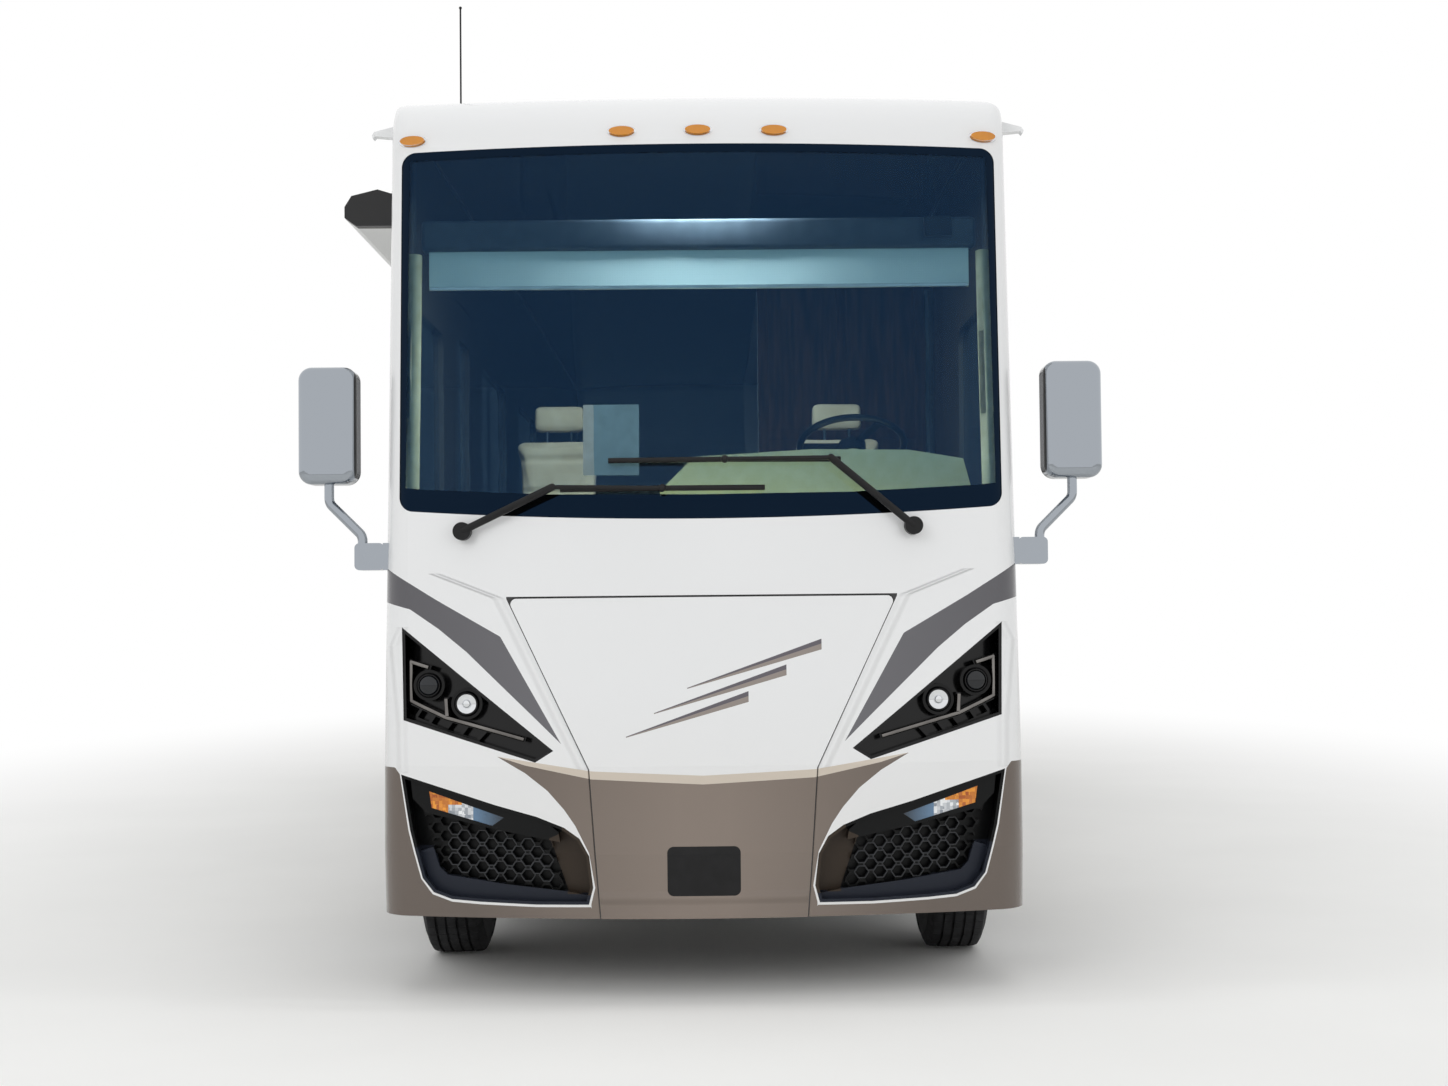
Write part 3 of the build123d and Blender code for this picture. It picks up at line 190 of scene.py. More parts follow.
def gelcoat(name, scheme):
    made, tree, surface, place = newMaterial(name, Coat_Weight=0.5, Coat_Roughness=0.03)
    # orange peel of the spray, about 12 mm across and a few hundredths deep
    addGrain(tree, surface, place, 0.012, 0.00003, 0.24, 0.04, 1.0)
    x, y, z, aside = axes(tree, place)
    out, high = spans["out"], spans["high"]
    # road film: a shade warmer low down, in soft patches
    haze = noise(tree, place, 1.4, 3.0)
    low = ramp(tree, z, 1.2, 0.3, 0.0, 0.5)
    colour = paintOver(tree, paint["white"], [(maths(tree, "MULTIPLY", low, haze), paint["film"])])
    if scheme in ("cap", "hood"):
        limits = {key: boundary(tree, paint[key], aside, out, high)
                  for key in ("greyTop", "greyLow", "stripTop", "stripLow", "podLow")}
        middle = boundary(tree, paint["tanMiddle"], z, high, out)
        tan, grey = (paintOver(tree, paint[key], [(ramp(tree, aside, start, end), paint[key + "Outer"])])
                     for key, start, end in (("tan", 0.1, 0.9), ("grey", 0.6, 1.3)))
        colour = paintOver(tree, colour, [
            (inside(tree, (z, "<", limits["greyTop"]), (z, ">", limits["greyLow"])), grey),
            (inside(tree, (z, "<", limits["stripTop"]), (aside, "<", middle), (z, ">", paint["stripFoot"])),
             paint["strip"]),
            (inside(tree, (z, "<", limits["stripLow"]), (aside, "<", middle)), tan),
            (inside(tree, (z, "<", limits["podLow"])), tan)])
        for left, level, right in bars["runs"]:
            lean = maths(tree, "SUBTRACT", z, maths(tree, "MULTIPLY", x, bars["slope"]))
            up = maths(tree, "SUBTRACT", lean, level)
            wide = ramp(tree, x, left, right, bars["tip"], bars["wide"])
            core = maths(tree, "MULTIPLY", wide, bars["core"])
            tests = [(y, "<", noseY + bars["back"]), (x, ">", left), (x, "<", right), (up, ">", 0.0)]
            colour = paintOver(tree, colour, [(inside(tree, *tests, (up, "<", wide)), bars["dark"]),
                                              (inside(tree, *tests, (up, "<", core)), bars["light"])])
        # pressed creases: beside the nose panel, down the outer corner, and across the bumper's foot
        ridge = None
        for along, span, across, key in ((z, high, aside, "crease"), (z, high, aside, "cornerCrease"),
                                         (aside, out, z, "footCrease")):
            line = paint[key]
            off = maths(tree, "SUBTRACT", across, boundary(tree, line, along, span, out))
            near = ramp(tree, maths(tree, "ABSOLUTE", off), 0.0, paint["creaseWide"], 1.0, 0.0, "SMOOTHSTEP")
            ends = inside(tree, (along, ">", line[0][0]), (along, "<", line[-1][0]))
            near = maths(tree, "MULTIPLY", near, ends)
            ridge = near if ridge is None else maths(tree, "MAXIMUM", ridge, near)
        fine = surface.inputs["Normal"].links[0].from_socket
        addBump(tree, surface, ridge, paint["creaseDeep"], Normal=fine)
    if scheme == "cap":
        # the rubber seal on the landing round the lifting nose panel
        hoodSide = boundary(tree, paint["hoodSide"], z, high, out)
        landing = inside(tree, (aside, "<", hoodSide), (z, "<", paint["sealTop"]),
                         (y, "<", noseY + paint["landing"]))
        colour = paintOver(tree, colour, [(landing, paint["seal"])])
    if scheme in ("side", "slide"):
        back = maths(tree, "SUBTRACT", y, noseY)
        top, under, tanTop = (boundary(tree, paint[key], back, spans["back"], spans["sideHigh"])
                              for key in ("sideGreyTop", "sideGreyLow", "sideTan"))
        stripTop = maths(tree, "ADD", tanTop, paint["stripWide"])
        colour = paintOver(tree, colour, [
            (inside(tree, (z, "<", top), (z, ">", under)), paint["grey"]),
            (inside(tree, (z, "<", stripTop)), paint["strip"]),
            (inside(tree, (z, "<", tanTop)), paint["tanOuter"])])
    # padded vinyl on the faces that look into the cabin, and through the whole of a wall; its dark colour is
    # partly the vinyl's own and partly painted shade inside the cabin
    facing = addNode(tree, "TexCoord", out="Normal")
    offMiddle = addNode(tree, "Mapping", {"Vector": place, "Location": (0, 0, -2.4), "Scale": (1, 0, 1)})
    inward = addNode(tree, "VectorMath", {0: facing, 1: offMiddle}, out="Value", operation="DOT_PRODUCT")
    inward = maths(tree, "LESS_THAN", inward, -0.3)
    near = inside(tree, (aside, "<", paint["liningOut"]))
    if scheme == "side":
        inward = maths(tree, "MAXIMUM", inward, near)
    (low, high), (start, end) = paint["liningHigh"], paint["liningBack"]
    liningAndShade = inside(tree, (inward, ">", 0.5), (near, ">", 0.5), (z, ">", low), (z, "<", high),
                     (y, ">", noseY + start), (y, "<", noseY + end))
    coat(tree, surface, colour, [(liningAndShade, paint["lining"])])
    return made


def mouldedPlastic(name, dark, light, rough, grainSize=0.0025, depth=0.00015, sheen=0.5):
    # injection-moulded ABS: a pebbled spark-eroded grain that breaks the highlight
    made, tree, surface, place = newMaterial(name, IOR=1.53, Specular_IOR_Level=sheen)
    addGrain(tree, surface, place, grainSize, depth, rough)
    addShades(tree, surface, place, dark, light, 0.05)
    return made


def bareMetal(name, dark, light, rough, stretch=(1, 1, 1), size=0.003, depth=0.00003):
    # the stretch draws the grain out along the way it was rolled or brushed
    made, tree, surface, place = newMaterial(name, Metallic=1.0)
    addGrain(tree, surface, place, size, depth, rough, min(0.05, rough * 0.6), 4.0, stretch)
    addShades(tree, surface, place, dark, light, 0.12)
    return made


def coatedIron(name, dark, light, rust, rough=0.55):
    # brushed chassis black or raw casting skin, with rust coming through in blotches
    made, tree, surface, place = newMaterial(name)
    addGrain(tree, surface, place, 0.006, 0.0004, rough, 0.12, 5.0)
    colour = addShades(tree, surface, place, dark, light, 0.09)
    spots = noise(tree, place, 9.0, 8.0)
    share = ramp(tree, spots, 0.58, 0.72)
    coat(tree, surface, colour, [(share, rust)])
    return made


# Laminated tinted safety glass, with the opaque ceramic band printed round the windshield; sheen tints the
# glass's reflections blue, a painted reflection of a blue sky
glass = {"windshield": "#b4cfdb", "sheen": "#5c93d2", "sides": "#3c4750", "band": "#050607",
         "bandTop": 3.375, "bandSide": 1.195,
         "bandLow": [(0.0, 1.965), (0.6, 1.972), (1.1, 2.0), (1.3, 2.02)]}


def tintedGlass(name, colour, banded):
    # the reflections are tinted blue by sheen: a painted reflection of a blue sky
    made, tree, surface, place = newMaterial(name, Roughness=0.015, IOR=1.5, Transmission_Weight=1.0)
    # painted reflection: blue specular tint stands in for a blue sky
    surface.inputs["Specular Tint"].default_value = linear(glass["sheen"])
    ripple = noise(tree, place, 2.2, 1.0)
    addBump(tree, surface, ripple, 0.0008)
    surface.inputs["Base Color"].default_value = linear(colour)
    if banded:
        x, y, z, aside = axes(tree, place)
        low = boundary(tree, glass["bandLow"], aside, spans["out"], 4.0)
        clear = inside(tree, (z, ">", low), (z, "<", glass["bandTop"]), (aside, "<", glass["bandSide"]))
        tree.links.new(clear, surface.inputs["Transmission Weight"])
        coat(tree, surface, glass["band"], [(clear, colour)])
    return made


def lampLens(name, colour):
    # acrylic with pressed ribs that catch the light
    made, tree, surface, place = newMaterial(name, Roughness=0.1, IOR=1.49, Coat_Weight=0.5,
                                             Transmission_Weight=0.3)
    ribs = addNode(tree, "TexWave", {"Vector": place, "Scale": 12.0}, out="Fac")
    addBump(tree, surface, ribs, 0.0008)
    surface.inputs["Base Color"].default_value = linear(colour)
    return made


def tyreRubber(name, axleY):
    # carbon-black rubber with a dusty sidewall; fine cuts across the tread every 3 degrees
    made, tree, surface, place = newMaterial(name, Specular_IOR_Level=0.35, Roughness=0.78)
    hub = (0, -axleY, -tyre["radius"])
    centred = addNode(tree, "Mapping", {"Vector": place, "Location": hub, "Scale": (0, 1, 1)})
    x, y, z = addNode(tree, "SeparateXYZ", {0: centred}).node.outputs
    cuts = maths(tree, "PINGPONG", maths(tree, "MULTIPLY", maths(tree, "ARCTAN2", y, z), 60 / pi), 1.0)
    groove = ramp(tree, cuts, 0.0, 0.18, 0.0, 6.0)
    radius = addNode(tree, "VectorMath", {0: centred}, out="Value", operation="LENGTH")
    wave = noise(tree, place, 260.0, 3.0)
    blocks = maths(tree, "MULTIPLY", groove, inside(tree, (radius, ">", tyre["shoulder"])))
    addBump(tree, surface, maths(tree, "ADD", blocks, wave), 0.0008)
    addShades(tree, surface, place, "#18181a", "#2b2b2d", 0.06)
    return made


def upholstery(name, dark, light):
    # pigmented leather: pebbled grain about 3 mm, creased in soft patches
    made, tree, surface, place = newMaterial(name, Sheen_Weight=0.1, Roughness=0.5)
    cells = addNode(tree, "TexVoronoi", {"Vector": place, "Scale": 330.0}, out="Distance",
                    feature="SMOOTH_F1")
    folds = noise(tree, place, 14.0, 5.0)
    height = maths(tree, "MULTIPLY_ADD", cells, 0.3, folds)
    addBump(tree, surface, height, 0.0015)
    addShades(tree, surface, place, dark, light, 0.11)
    return made


def wovenCloth(name, dark, light, thread=0.0016):
    # plain weave: two sets of threads crossing, 1.6 mm apart so that they show
    made, tree, surface, place = newMaterial(name, Roughness=0.85, Sheen_Weight=0.3)
    across, down = (addNode(tree, "TexWave", {"Vector": place, "Scale": 1 / (thread * 20)}, out="Fac",
                            bands_direction=way) for way in ("X", "Z"))
    weave = maths(tree, "MAXIMUM", across, down)
    addBump(tree, surface, weave, 0.0003)
    coat(tree, surface, dark, [(weave, light)])
    return made


# where the mirror shells' plating stops, and the awning's end caps; back counts from the nose
bareZone = {"aside": 1.424, "back": 0.492, "foot": 2.03}
awningEnds = (0.91, 8.69)


def platedShell(name):
    # bright plating outside; the inboard face and the rim of the pane are bare black ABS
    made, tree, surface, place = newMaterial(name, Coat_Weight=0.2)
    addGrain(tree, surface, place, 0.02, 0.00001, 0.09, 0.03)
    x, y, z, aside = axes(tree, place)
    inboard = inside(tree, (aside, "<", bareZone["aside"]), (z, ">", bareZone["foot"]))
    rear = inside(tree, (y, ">", noseY + bareZone["back"]), (z, ">", bareZone["foot"]))
    bare = maths(tree, "MAXIMUM", inboard, rear)
    tree.links.new(maths(tree, "SUBTRACT", 1.0, bare), surface.inputs["Metallic"])
    coat(tree, surface, "#a2a8af", [(bare, "#0d0d0f")])
    return made


def awningSkin(name):
    # powder-coated housing, with moulded black caps 60 mm long on both ends
    made, tree, surface, place = newMaterial(name)
    addGrain(tree, surface, place, 0.002, 0.0001, 0.4)
    y = axes(tree, place)[1]
    front, rear = (inside(tree, (y, side, noseY + end)) for side, end in zip("<>", awningEnds))
    coat(tree, surface, "#dfe0df", [(front, "#111113"), (rear, "#111113")])
    return made


def bareWood(name, dark, light):
    # oiled veneer: long grain up the board, pores a fraction of a millimetre deep
    made, tree, surface, place = newMaterial(name, Specular_IOR_Level=0.35)
    addGrain(tree, surface, place, 0.004, 0.00015, 0.45, 0.08, 4.0, (6, 6, 0.4))
    board = addNode(tree, "Mapping", {"Vector": place, "Scale": (9, 9, 0.8)})
    addShades(tree, surface, board, dark, light, 0.2)
    return made


# The pod's inner end wall by height and half width, and the top of its sill from the middle outwards
pod = {"end": [(0.0, 0.53), (0.412, 0.535), (0.62, 0.605), (0.64, 0.56), (0.70, 0.54), (1.0, 0.0)],
       "sill": [(0.44, 0.40), (0.545, 0.412), (0.79, 0.438), (1.014, 0.47), (1.046, 0.502), (1.07, 0.58),
                (1.2, 0.58)], "endLow": 0.40}


def podMoulding(name):
    # satin black ABS; the sill is painted lighter and bluer than the black, painted light on its sloping
    # face; the inner end wall is the bumper's tan darkened, painted shade
    made, tree, surface, place = newMaterial(name, IOR=1.5, Specular_IOR_Level=0.2)
    addGrain(tree, surface, place, 0.0025, 0.0001, 0.4)
    x, y, z, aside = axes(tree, place)
    end = boundary(tree, pod["end"], z, 1.0, 1.0)
    sillTop = boundary(tree, pod["sill"], aside, spans["out"], 1.0)
    # painted light on the sill, painted shade on the inner end wall
    coat(tree, surface, "#08090a", [(inside(tree, (z, "<", sillTop)), "#232731"),
                                    (inside(tree, (aside, "<", end), (z, ">", pod["endLow"])), "#3a3129")])
    return made


# From the outside inwards along the lens: amber prisms, a chromed reflector, a smoked tail. The facets' light
# and dark tones are painted glints, the reflector's grey and white a painted reflection, and the tail's
# lightening to blue a painted highlight
turnZones = {"amber": 1.007, "mixed": 0.952, "clear": 0.906, "tail": 0.79, "mixedHeight": 0.748,
             "facet": 0.013}


def turnLens(name):
    # clear acrylic over pressed prisms 13 mm apart
    made, tree, surface, place = newMaterial(name, Roughness=0.08, IOR=1.49, Coat_Weight=0.6)
    x, y, z, aside = axes(tree, place)
    cells = {"Vector": place, "Scale": 1 / turnZones["facet"], "Randomness": 0.35}
    facets = addNode(tree, "TexVoronoi", cells, out="Color", distance="CHEBYCHEV")
    # light and dark facets: painted glints over the amber, and a painted reflection for the chromed reflector
    shade = addNode(tree, "SeparateXYZ", {0: facets}, out="X")
    amber = paintOver(tree, "#a9500f", [(shade, "#f6a02c")])
    clear = paintOver(tree, "#7b848f", [(shade, "#f4f6f8")])
    # the smoked tail lightens to blue outwards: a painted highlight
    down = ramp(tree, aside, turnZones["tail"], turnZones["clear"])
    tail = paintOver(tree, "#1c2a38", [(down, "#5d7f9f")])
    mixed = inside(tree, (aside, ">", turnZones["mixed"]), (z, ">", turnZones["mixedHeight"]))
    coat(tree, surface, tail, [(inside(tree, (aside, ">", turnZones["clear"])), clear), (mixed, amber),
                               (inside(tree, (aside, ">", turnZones["amber"])), amber)])
    addBump(tree, surface, shade, 0.001)
    return made


def newObject(name, data):
    made = bpy.data.objects.new(name, data)
    scene.collection.objects.link(made)
    return made


def meshFrom(name, bm):
    mesh = bpy.data.meshes.new(name)
    bm.to_mesh(mesh)
    bm.free()
    return mesh


def finishPiece(name, bm, key, replaced=(), body="coach", smooth=40):
    # makes the object at the origin, with its place in its mesh
    bmesh.ops.remove_doubles(bm, verts=bm.verts, dist=0.00001)
    bmesh.ops.recalc_face_normals(bm, faces=bm.faces)
    mesh = meshFrom(name, bm)
    mesh.materials.append(finish[key])
    piece = newObject(name, mesh)
    mesh.shade_smooth()
    mesh.set_sharp_from_angle(angle=radians(smooth))
    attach(piece, body)
    if replaced:
        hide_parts(*replaced)
    return piece


def addBlock(bm, low, high, radius=0.0, segments=3, turn=None):
    # a box between two corners with rounded edges; turn is about the box's own middle
    low, high = Vector(low), Vector(high)
    place = Matrix.Translation((low + high) / 2) @ (turn or Matrix()) @ Matrix.Diagonal((*(high - low), 1))
    made = bmesh.ops.create_cube(bm, size=1, matrix=place)["verts"]
    if radius:
        edges = list({edge for vert in made for edge in vert.link_edges})
        bmesh.ops.bevel(bm, geom=edges, offset=min(radius, min(high - low) * 0.49), segments=segments,
                        affect="EDGES", profile=0.5, material=-1)


def addBar(bm, start, end, radius, segments=16, endRadius=None):
    # a round bar or cone between two points
    start, end = Vector(start), Vector(end)
    turn = (end - start).to_track_quat("Z", "Y").to_matrix().to_4x4()
    bmesh.ops.create_cone(bm, cap_ends=True, segments=segments, radius1=radius, depth=(end - start).length,
                          radius2=radius if endRadius is None else endRadius,
                          matrix=Matrix.Translation((start + end) / 2) @ turn)


def addTube(bm, points, radius, segments=12):
    # round bars from point to point with a ball at each bend
    for start, end in zip(points, points[1:]):
        addBar(bm, start, end, radius, segments)
    for point in points[1:-1]:
        bmesh.ops.create_uvsphere(bm, u_segments=segments, v_segments=8, radius=radius,
                                  matrix=Matrix.Translation(point))


def addSpun(bm, profile, centre, axis="X", steps=48, closed=True):
    # a profile of (along, radius) turned once about an axis through the centre
    centre, out = Vector(centre), Vector((0, 0, 1))
    way = Vector((1, 0, 0)) if axis == "X" else Vector((0, 1, 0))
    ring = [bm.verts.new(centre + way * a + out * r) for a, r in profile]
    edges = [bm.edges.new(pair) for pair in zip(ring, ring[1:] + ring[:1] * closed)]
    bmesh.ops.spin(bm, geom=ring + edges, cent=centre, axis=way, angle=2 * pi, steps=steps, use_merge=True)


def pushOut(bm, faces, move):
    # gives a sheet its thickness
    pushed = bmesh.ops.extrude_face_region(bm, geom=faces)["geom"]
    bmesh.ops.translate(bm, vec=move, verts=[part for part in pushed if isinstance(part, bmesh.types.BMVert)])


def addOnWall(bm, side, reach, y, z, radius=0.0, segments=3):
    # a block on a side wall: reach is how far out of the wall it starts and ends, y counts from the nose
    x0, x1 = sorted(side * (halfWidth + far) for far in reach)
    addBlock(bm, (x0, noseY + y[0], z[0]), (x1, noseY + y[1], z[1]), radius, segments)


def addRing(bm, side, y0, y1, z0, z1, corner, x, wide, deep):
    # a rounded frame round an opening in a side wall, standing proud of x by deep
    grid = bmesh.ops.create_grid(bm, x_segments=1, y_segments=1, size=0.5)["verts"]
    bmesh.ops.scale(bm, vec=(z1 - z0 + 2 * wide, y1 - y0 + 2 * wide, 1), verts=grid)
    middle = Matrix.Translation((side * x, noseY + (y0 + y1) / 2, (z0 + z1) / 2))
    bmesh.ops.transform(bm, matrix=middle @ Matrix.Rotation(pi / 2, 4, "Y"), verts=grid)
    made = bmesh.ops.bevel(bm, geom=grid, offset=corner + wide, segments=6, affect="VERTICES", profile=0.5,
                           material=-1)
    face = made["verts"][0].link_faces[0]
    rim = bmesh.ops.inset_region(bm, faces=[face], thickness=wide, use_even_offset=True, use_boundary=True)
    bmesh.ops.delete(bm, geom=[face], context="FACES_ONLY")
    pushOut(bm, rim["faces"], (side * deep, 0, 0))


# finishes, each named for what the real one is made of
finish = {
    "gelFront": gelcoat("spray gelcoat nose panel", "hood"),
    "gelSide": gelcoat("spray gelcoat sides", "side"),
    "gelSlide": gelcoat("spray gelcoat slide-out", "slide"),
    "gelWhite": gelcoat("spray gelcoat white", "plain"),
    "blackPlastic": mouldedPlastic("moulded ABS black", "#0b0b0d", "#121214", 0.45, sheen=0.3),
    "glossBlack": mouldedPlastic("polished polycarbonate black", "#040405", "#08080a", 0.16, 0.02, 0.00002,
                                 0.3),
    # grey lighter than the grille's black: partly painted highlight on the rib edges
    "ribPlasticAndHighlight": mouldedPlastic("satin ABS ribs", "#1d1e21", "#292b2f", 0.3),
    "smokedLens": mouldedPlastic("smoked acrylic lens", "#0a0d11", "#11161c", 0.05, 0.03, 0.00002),
    "dashPlastic": mouldedPlastic("moulded vinyl dash", "#e6dfb2", "#efe9c2", 0.5),
    "creamPlastic": mouldedPlastic("moulded vinyl cream", "#bfb692", "#cfc7a6", 0.55),
    "valance": mouldedPlastic("moulded ABS charcoal", "#30353b", "#3a4047", 0.5),
    "whitePlastic": mouldedPlastic("moulded ABS white", "#dededb", "#e2e2df", 0.42),
    "rubber": mouldedPlastic("moulded EPDM rubber", "#131314", "#1e1e1f", 0.75),
    "floorCover": mouldedPlastic("rolled vinyl floor", "#4d443a", "#62574a", 0.5, 0.02),
    "podPlastic": podMoulding("moulded ABS pods"),
    "mirrorShell": platedShell("electroplated ABS mirror shell"),
    "awningHousing": awningSkin("extruded awning housing"),
    "gelCap": gelcoat("spray gelcoat nose shell", "cap"),
    "chrome": bareMetal("electroplated chrome", "#d7d9dc", "#e6e8ea", 0.06, size=0.02, depth=0.00001),
    "smokedChrome": bareMetal("smoked chrome", "#6d6a68", "#85827f", 0.14, size=0.02, depth=0.00001),
    "alloy": bareMetal("polished forged aluminium", "#c9cbce", "#dcdee0", 0.16, (1, 8, 8), 0.004, 0.00004),
    "aluminium": bareMetal("extruded aluminium", "#b7babd", "#cccfd2", 0.3, (1, 12, 1), 0.006, 0.00005),
    "steel": bareMetal("turned steel", "#8a8d90", "#a0a3a6", 0.3, (6, 1, 6), 0.003),
    "galvanised": bareMetal("galvanised sheet", "#9ba0a2", "#b4b8ba", 0.42, size=0.03),
    "chassis": coatedIron("brushed chassis enamel", "#141416", "#1f1f21", "#3a2a20"),
    "castIron": coatedIron("sand-cast iron", "#26262a", "#38383b", "#4a3426", 0.65),
    "windshield": tintedGlass("laminated tinted glass", glass["windshield"], True),
    "sideGlass": tintedGlass("privacy glass", glass["sides"], False),
    "amber": lampLens("ribbed acrylic amber", "#e8961c"),
    "turn": turnLens("prismatic acrylic turn lamp"),
    "red": lampLens("ribbed acrylic red", "#8e0d0d"),
    "tailLens": lampLens("ribbed acrylic red and clear", "#9a1010"),
    "leather": upholstery("pigmented leather", "#b3a488", "#c4b79c"),
    "shadeCloth": wovenCloth("woven polyester shade", "#cfe4e4", "#e6f2f0"),
    "veneer": bareWood("walnut veneer", "#2b1d15", "#4a3324"),
    "paper": mouldedPlastic("pressed card", "#d9d9d2", "#e6e6e0", 0.8, 0.001, 0.0001),
    "mirrorGlass": bareMetal("silvered glass", "#dfe3e6", "#e8ecef", 0.02, size=0.3, depth=0.000005),
}
# each name stands for all nodes that start with it, and a later line wins
nodeFinish = {
    "gelCap": "front_cap", "gelFront": "hood", "gelWhite": "roof", "gelSlide": "slide_out",
    "gelSide": "wall rear_cap entry_door storage_door", "glossBlack": "headlamps",
    "windshield": "windshield", "sideGlass": "side_windows entry_window slide_windows",
    "podPlastic": "corner_grilles", "turn": "turn_lamps", "amber": "amber_lamps", "tailLens": "tail_lamps",
    "blackPlastic": "tow_plate wipers antenna steering_wheel", "mirrorShell": "mirrors",
    "awningHousing": "awning", "whitePlastic": "roof_units", "aluminium": "ladder", "floorCover": "floor",
    "galvanised": "storage_bins exhaust", "dashPlastic": "dashboard", "leather": "front_seats",
    "shadeCloth": "front_shade", "alloy": "front_rim rear_rims", "rubber": "front_tyre rear_tyres",
    "chassis": "frame_rails crossmembers hitch_receiver spring_hangers drive_shaft fuel_tank leaf_springs",
    "castIron": "engine front_axle rear_axle steer_knuckle",
}
for key, starts in nodeFinish.items():
    for node in (node for name, node in nodes.items() if name.startswith(tuple(starts.split()))):
        if not node.material_slots:
            node.data.materials.append(finish[key])
        for slot in node.material_slots:
            slot.material = finish[key]
print("finishes on the frame's nodes")

# tyres: four grooves round the tread, a scuff rib and a bead on each side
tyre = {"radius": 0.478, "shoulder": 0.455, "half": 0.1275, "bead": 0.29, "beadHalf": 0.105, "crown": 6.0,
        "grooves": (-0.066, -0.023, 0.023, 0.066), "groove": 0.0055, "depth": 0.012, "steps": 96}
hubs = {"nuts": 10, "circle": 0.1429, "nut": ((0, 0.008, 0.023, 16), (0.008, 0.03, 0.0165, 6),
                                              (0.03, 0.036, 0.011, 12)),
        "front": (1.157, 1.210, 0.095), "rear": (0.992, 1.115, 0.110)}    # disc, end of the hub, its radius


def tyreProfile():
    r, h, b, seat = tyre["radius"], tyre["half"], tyre["bead"], tyre["beadHalf"]
    side = [(seat - 0.012, b), (seat, b + 0.004), (h - 0.012, b + 0.05), (h - 0.003, b + 0.09),
            (h - 0.0035, b + 0.125), (h, b + 0.128), (h, b + 0.136), (h - 0.004, b + 0.14),
            (h - 0.012, r - 0.022), (h - 0.022, r - 0.006), (h - 0.03, r - 0.003)]
    tread = []
    for middle in reversed(tyre["grooves"]):
        top = r - tyre["crown"] * (abs(middle) * 0.16) ** 2
        for part, cut in ((1, 0), (0.6, 1), (-0.6, 1), (-1, 0)):
            tread.append((middle + tyre["groove"] * part, top - tyre["depth"] * cut))
    inner = [(seat - 0.02, b + 0.006), (h - 0.02, b + 0.07), (h - 0.035, r - 0.03)]
    return (side + tread + [(-x, radius) for x, radius in reversed(side)]
            + [(-x, radius) for x, radius in inner] + inner[::-1])


for place, x, offsets, back in (("front", 1.085, (0.0,), 1.150), ("rear", 0.9225, (-0.1625, 0.1625), 7.297)):
    y, plural = noseY + back, "s" * (place == "rear")
    for side, hand in ((1, "left"), (-1, "right")):
        body, solid = place + "_wheel" + plural + "_" + hand, place + "_tyre" + plural + "_" + hand
        bm = bmesh.new()
        for offset in offsets:
            addSpun(bm, tyreProfile(), (side * x + offset, y, tyre["radius"]), steps=tyre["steps"])
        finish[body] = tyreRubber("carbon-black rubber " + place + " " + hand, y)
        finishPiece(place + "Tyres." + hand, bm, body, [solid], body, 30)

        # nuts on the wheel disc, and a cap on the hub
        bm = bmesh.new()
        disc, end, radius = hubs[place]
        for step in range(hubs["nuts"]):
            angle = 2 * pi * step / hubs["nuts"]
            spot = Vector((0, y + cos(angle) * hubs["circle"], tyre["radius"] + sin(angle) * hubs["circle"]))
            for near, far, thick, sides in hubs["nut"]:
                addBar(bm, *[spot + Vector((side * (disc + out), 0, 0)) for out in (near, far)], thick, sides)
        cap = [(end, 0.0), (end, radius - 0.012), (end + 0.006, radius - 0.016), (end + 0.010, radius * 0.5),
               (end + 0.012, 0.0)]
        addSpun(bm, [(side * a, r) for a, r in cap], (0, y, tyre["radius"]), steps=40, closed=False)
        finishPiece(place + "Nuts." + hand, bm, "chrome", (), body, 30)
print("wheels dressed")

# cab seats: sewn leather over foam, filled out by simulation, on a steel pedestal
seat = {"x": (0.661, -0.700), "y": noseY + 1.53, "half": 0.245, "low": 1.585, "high": 1.735,
        "front": 0.268, "back": 0.235, "backHeight": 0.62, "backDepth": 0.115, "recline": 10, "voxel": 0.012,
        "cap": 0.022, "pressure": 4.0, "frames": 20, "stiff": 25, "seamHalf": 0.02, "seamDeep": 0.012,
        "hinge": (0.215, 1.745), "edge": 0.045, "seams": (-0.13, 0.0, 0.13), "backSeams": (0.17, 0.34, 0.5),
        "headRest": (0.14, (0.01, 0.1), (0.03, 0.16)), "arms": (0.235, 0.03, (-0.16, 0.2), (1.86, 1.92))}
# half width, front and back from the seat's middle, bottom and top of its plates; the post; the rods
pedestal = {"plates": ((0.17, (-0.17, 0.17), (1.325, 1.345), 0.008),
                       (0.2, (-0.22, 0.2), (1.535, 1.575), 0.01)),
            "post": ((1.34, 1.54), 0.06), "rods": ((-0.06, 0.06), 0.055, (0.58, 0.68), 0.007)}


def evaluated(piece):
    return piece.evaluated_get(bpy.context.evaluated_depsgraph_get())


def makeFiner(piece):
    finer = piece.modifiers.new("finer", "SUBSURF")
    finer.levels = finer.render_levels = 1


def fillCushion(piece):
    # blows the cover up against its seams as the foam inside does, then keeps the shape
    base = [vert.co.copy() for vert in piece.data.vertices]
    cloth = piece.modifiers.new("fill", "CLOTH")
    cover = cloth.settings
    cover.quality = 5
    cover.use_pressure = True
    cover.uniform_pressure_force = seat["pressure"]
    cover.effector_weights.gravity = 0.0
    cover.tension_stiffness = cover.compression_stiffness = seat["stiff"]
    cover.bending_stiffness = 2.0
    cloth.point_cache.frame_start = 1
    cloth.point_cache.frame_end = seat["frames"]
    for step in range(1, seat["frames"] + 1):
        scene.frame_set(step)
    places = [vert.co.copy() for vert in evaluated(piece).data.vertices]
    piece.modifiers.remove(cloth)
    scene.frame_set(1)
    for vert, start, end in zip(piece.data.vertices, base, places):
        move = end - start
        vert.co = start + move.normalized() * min(move.length, seat["cap"])


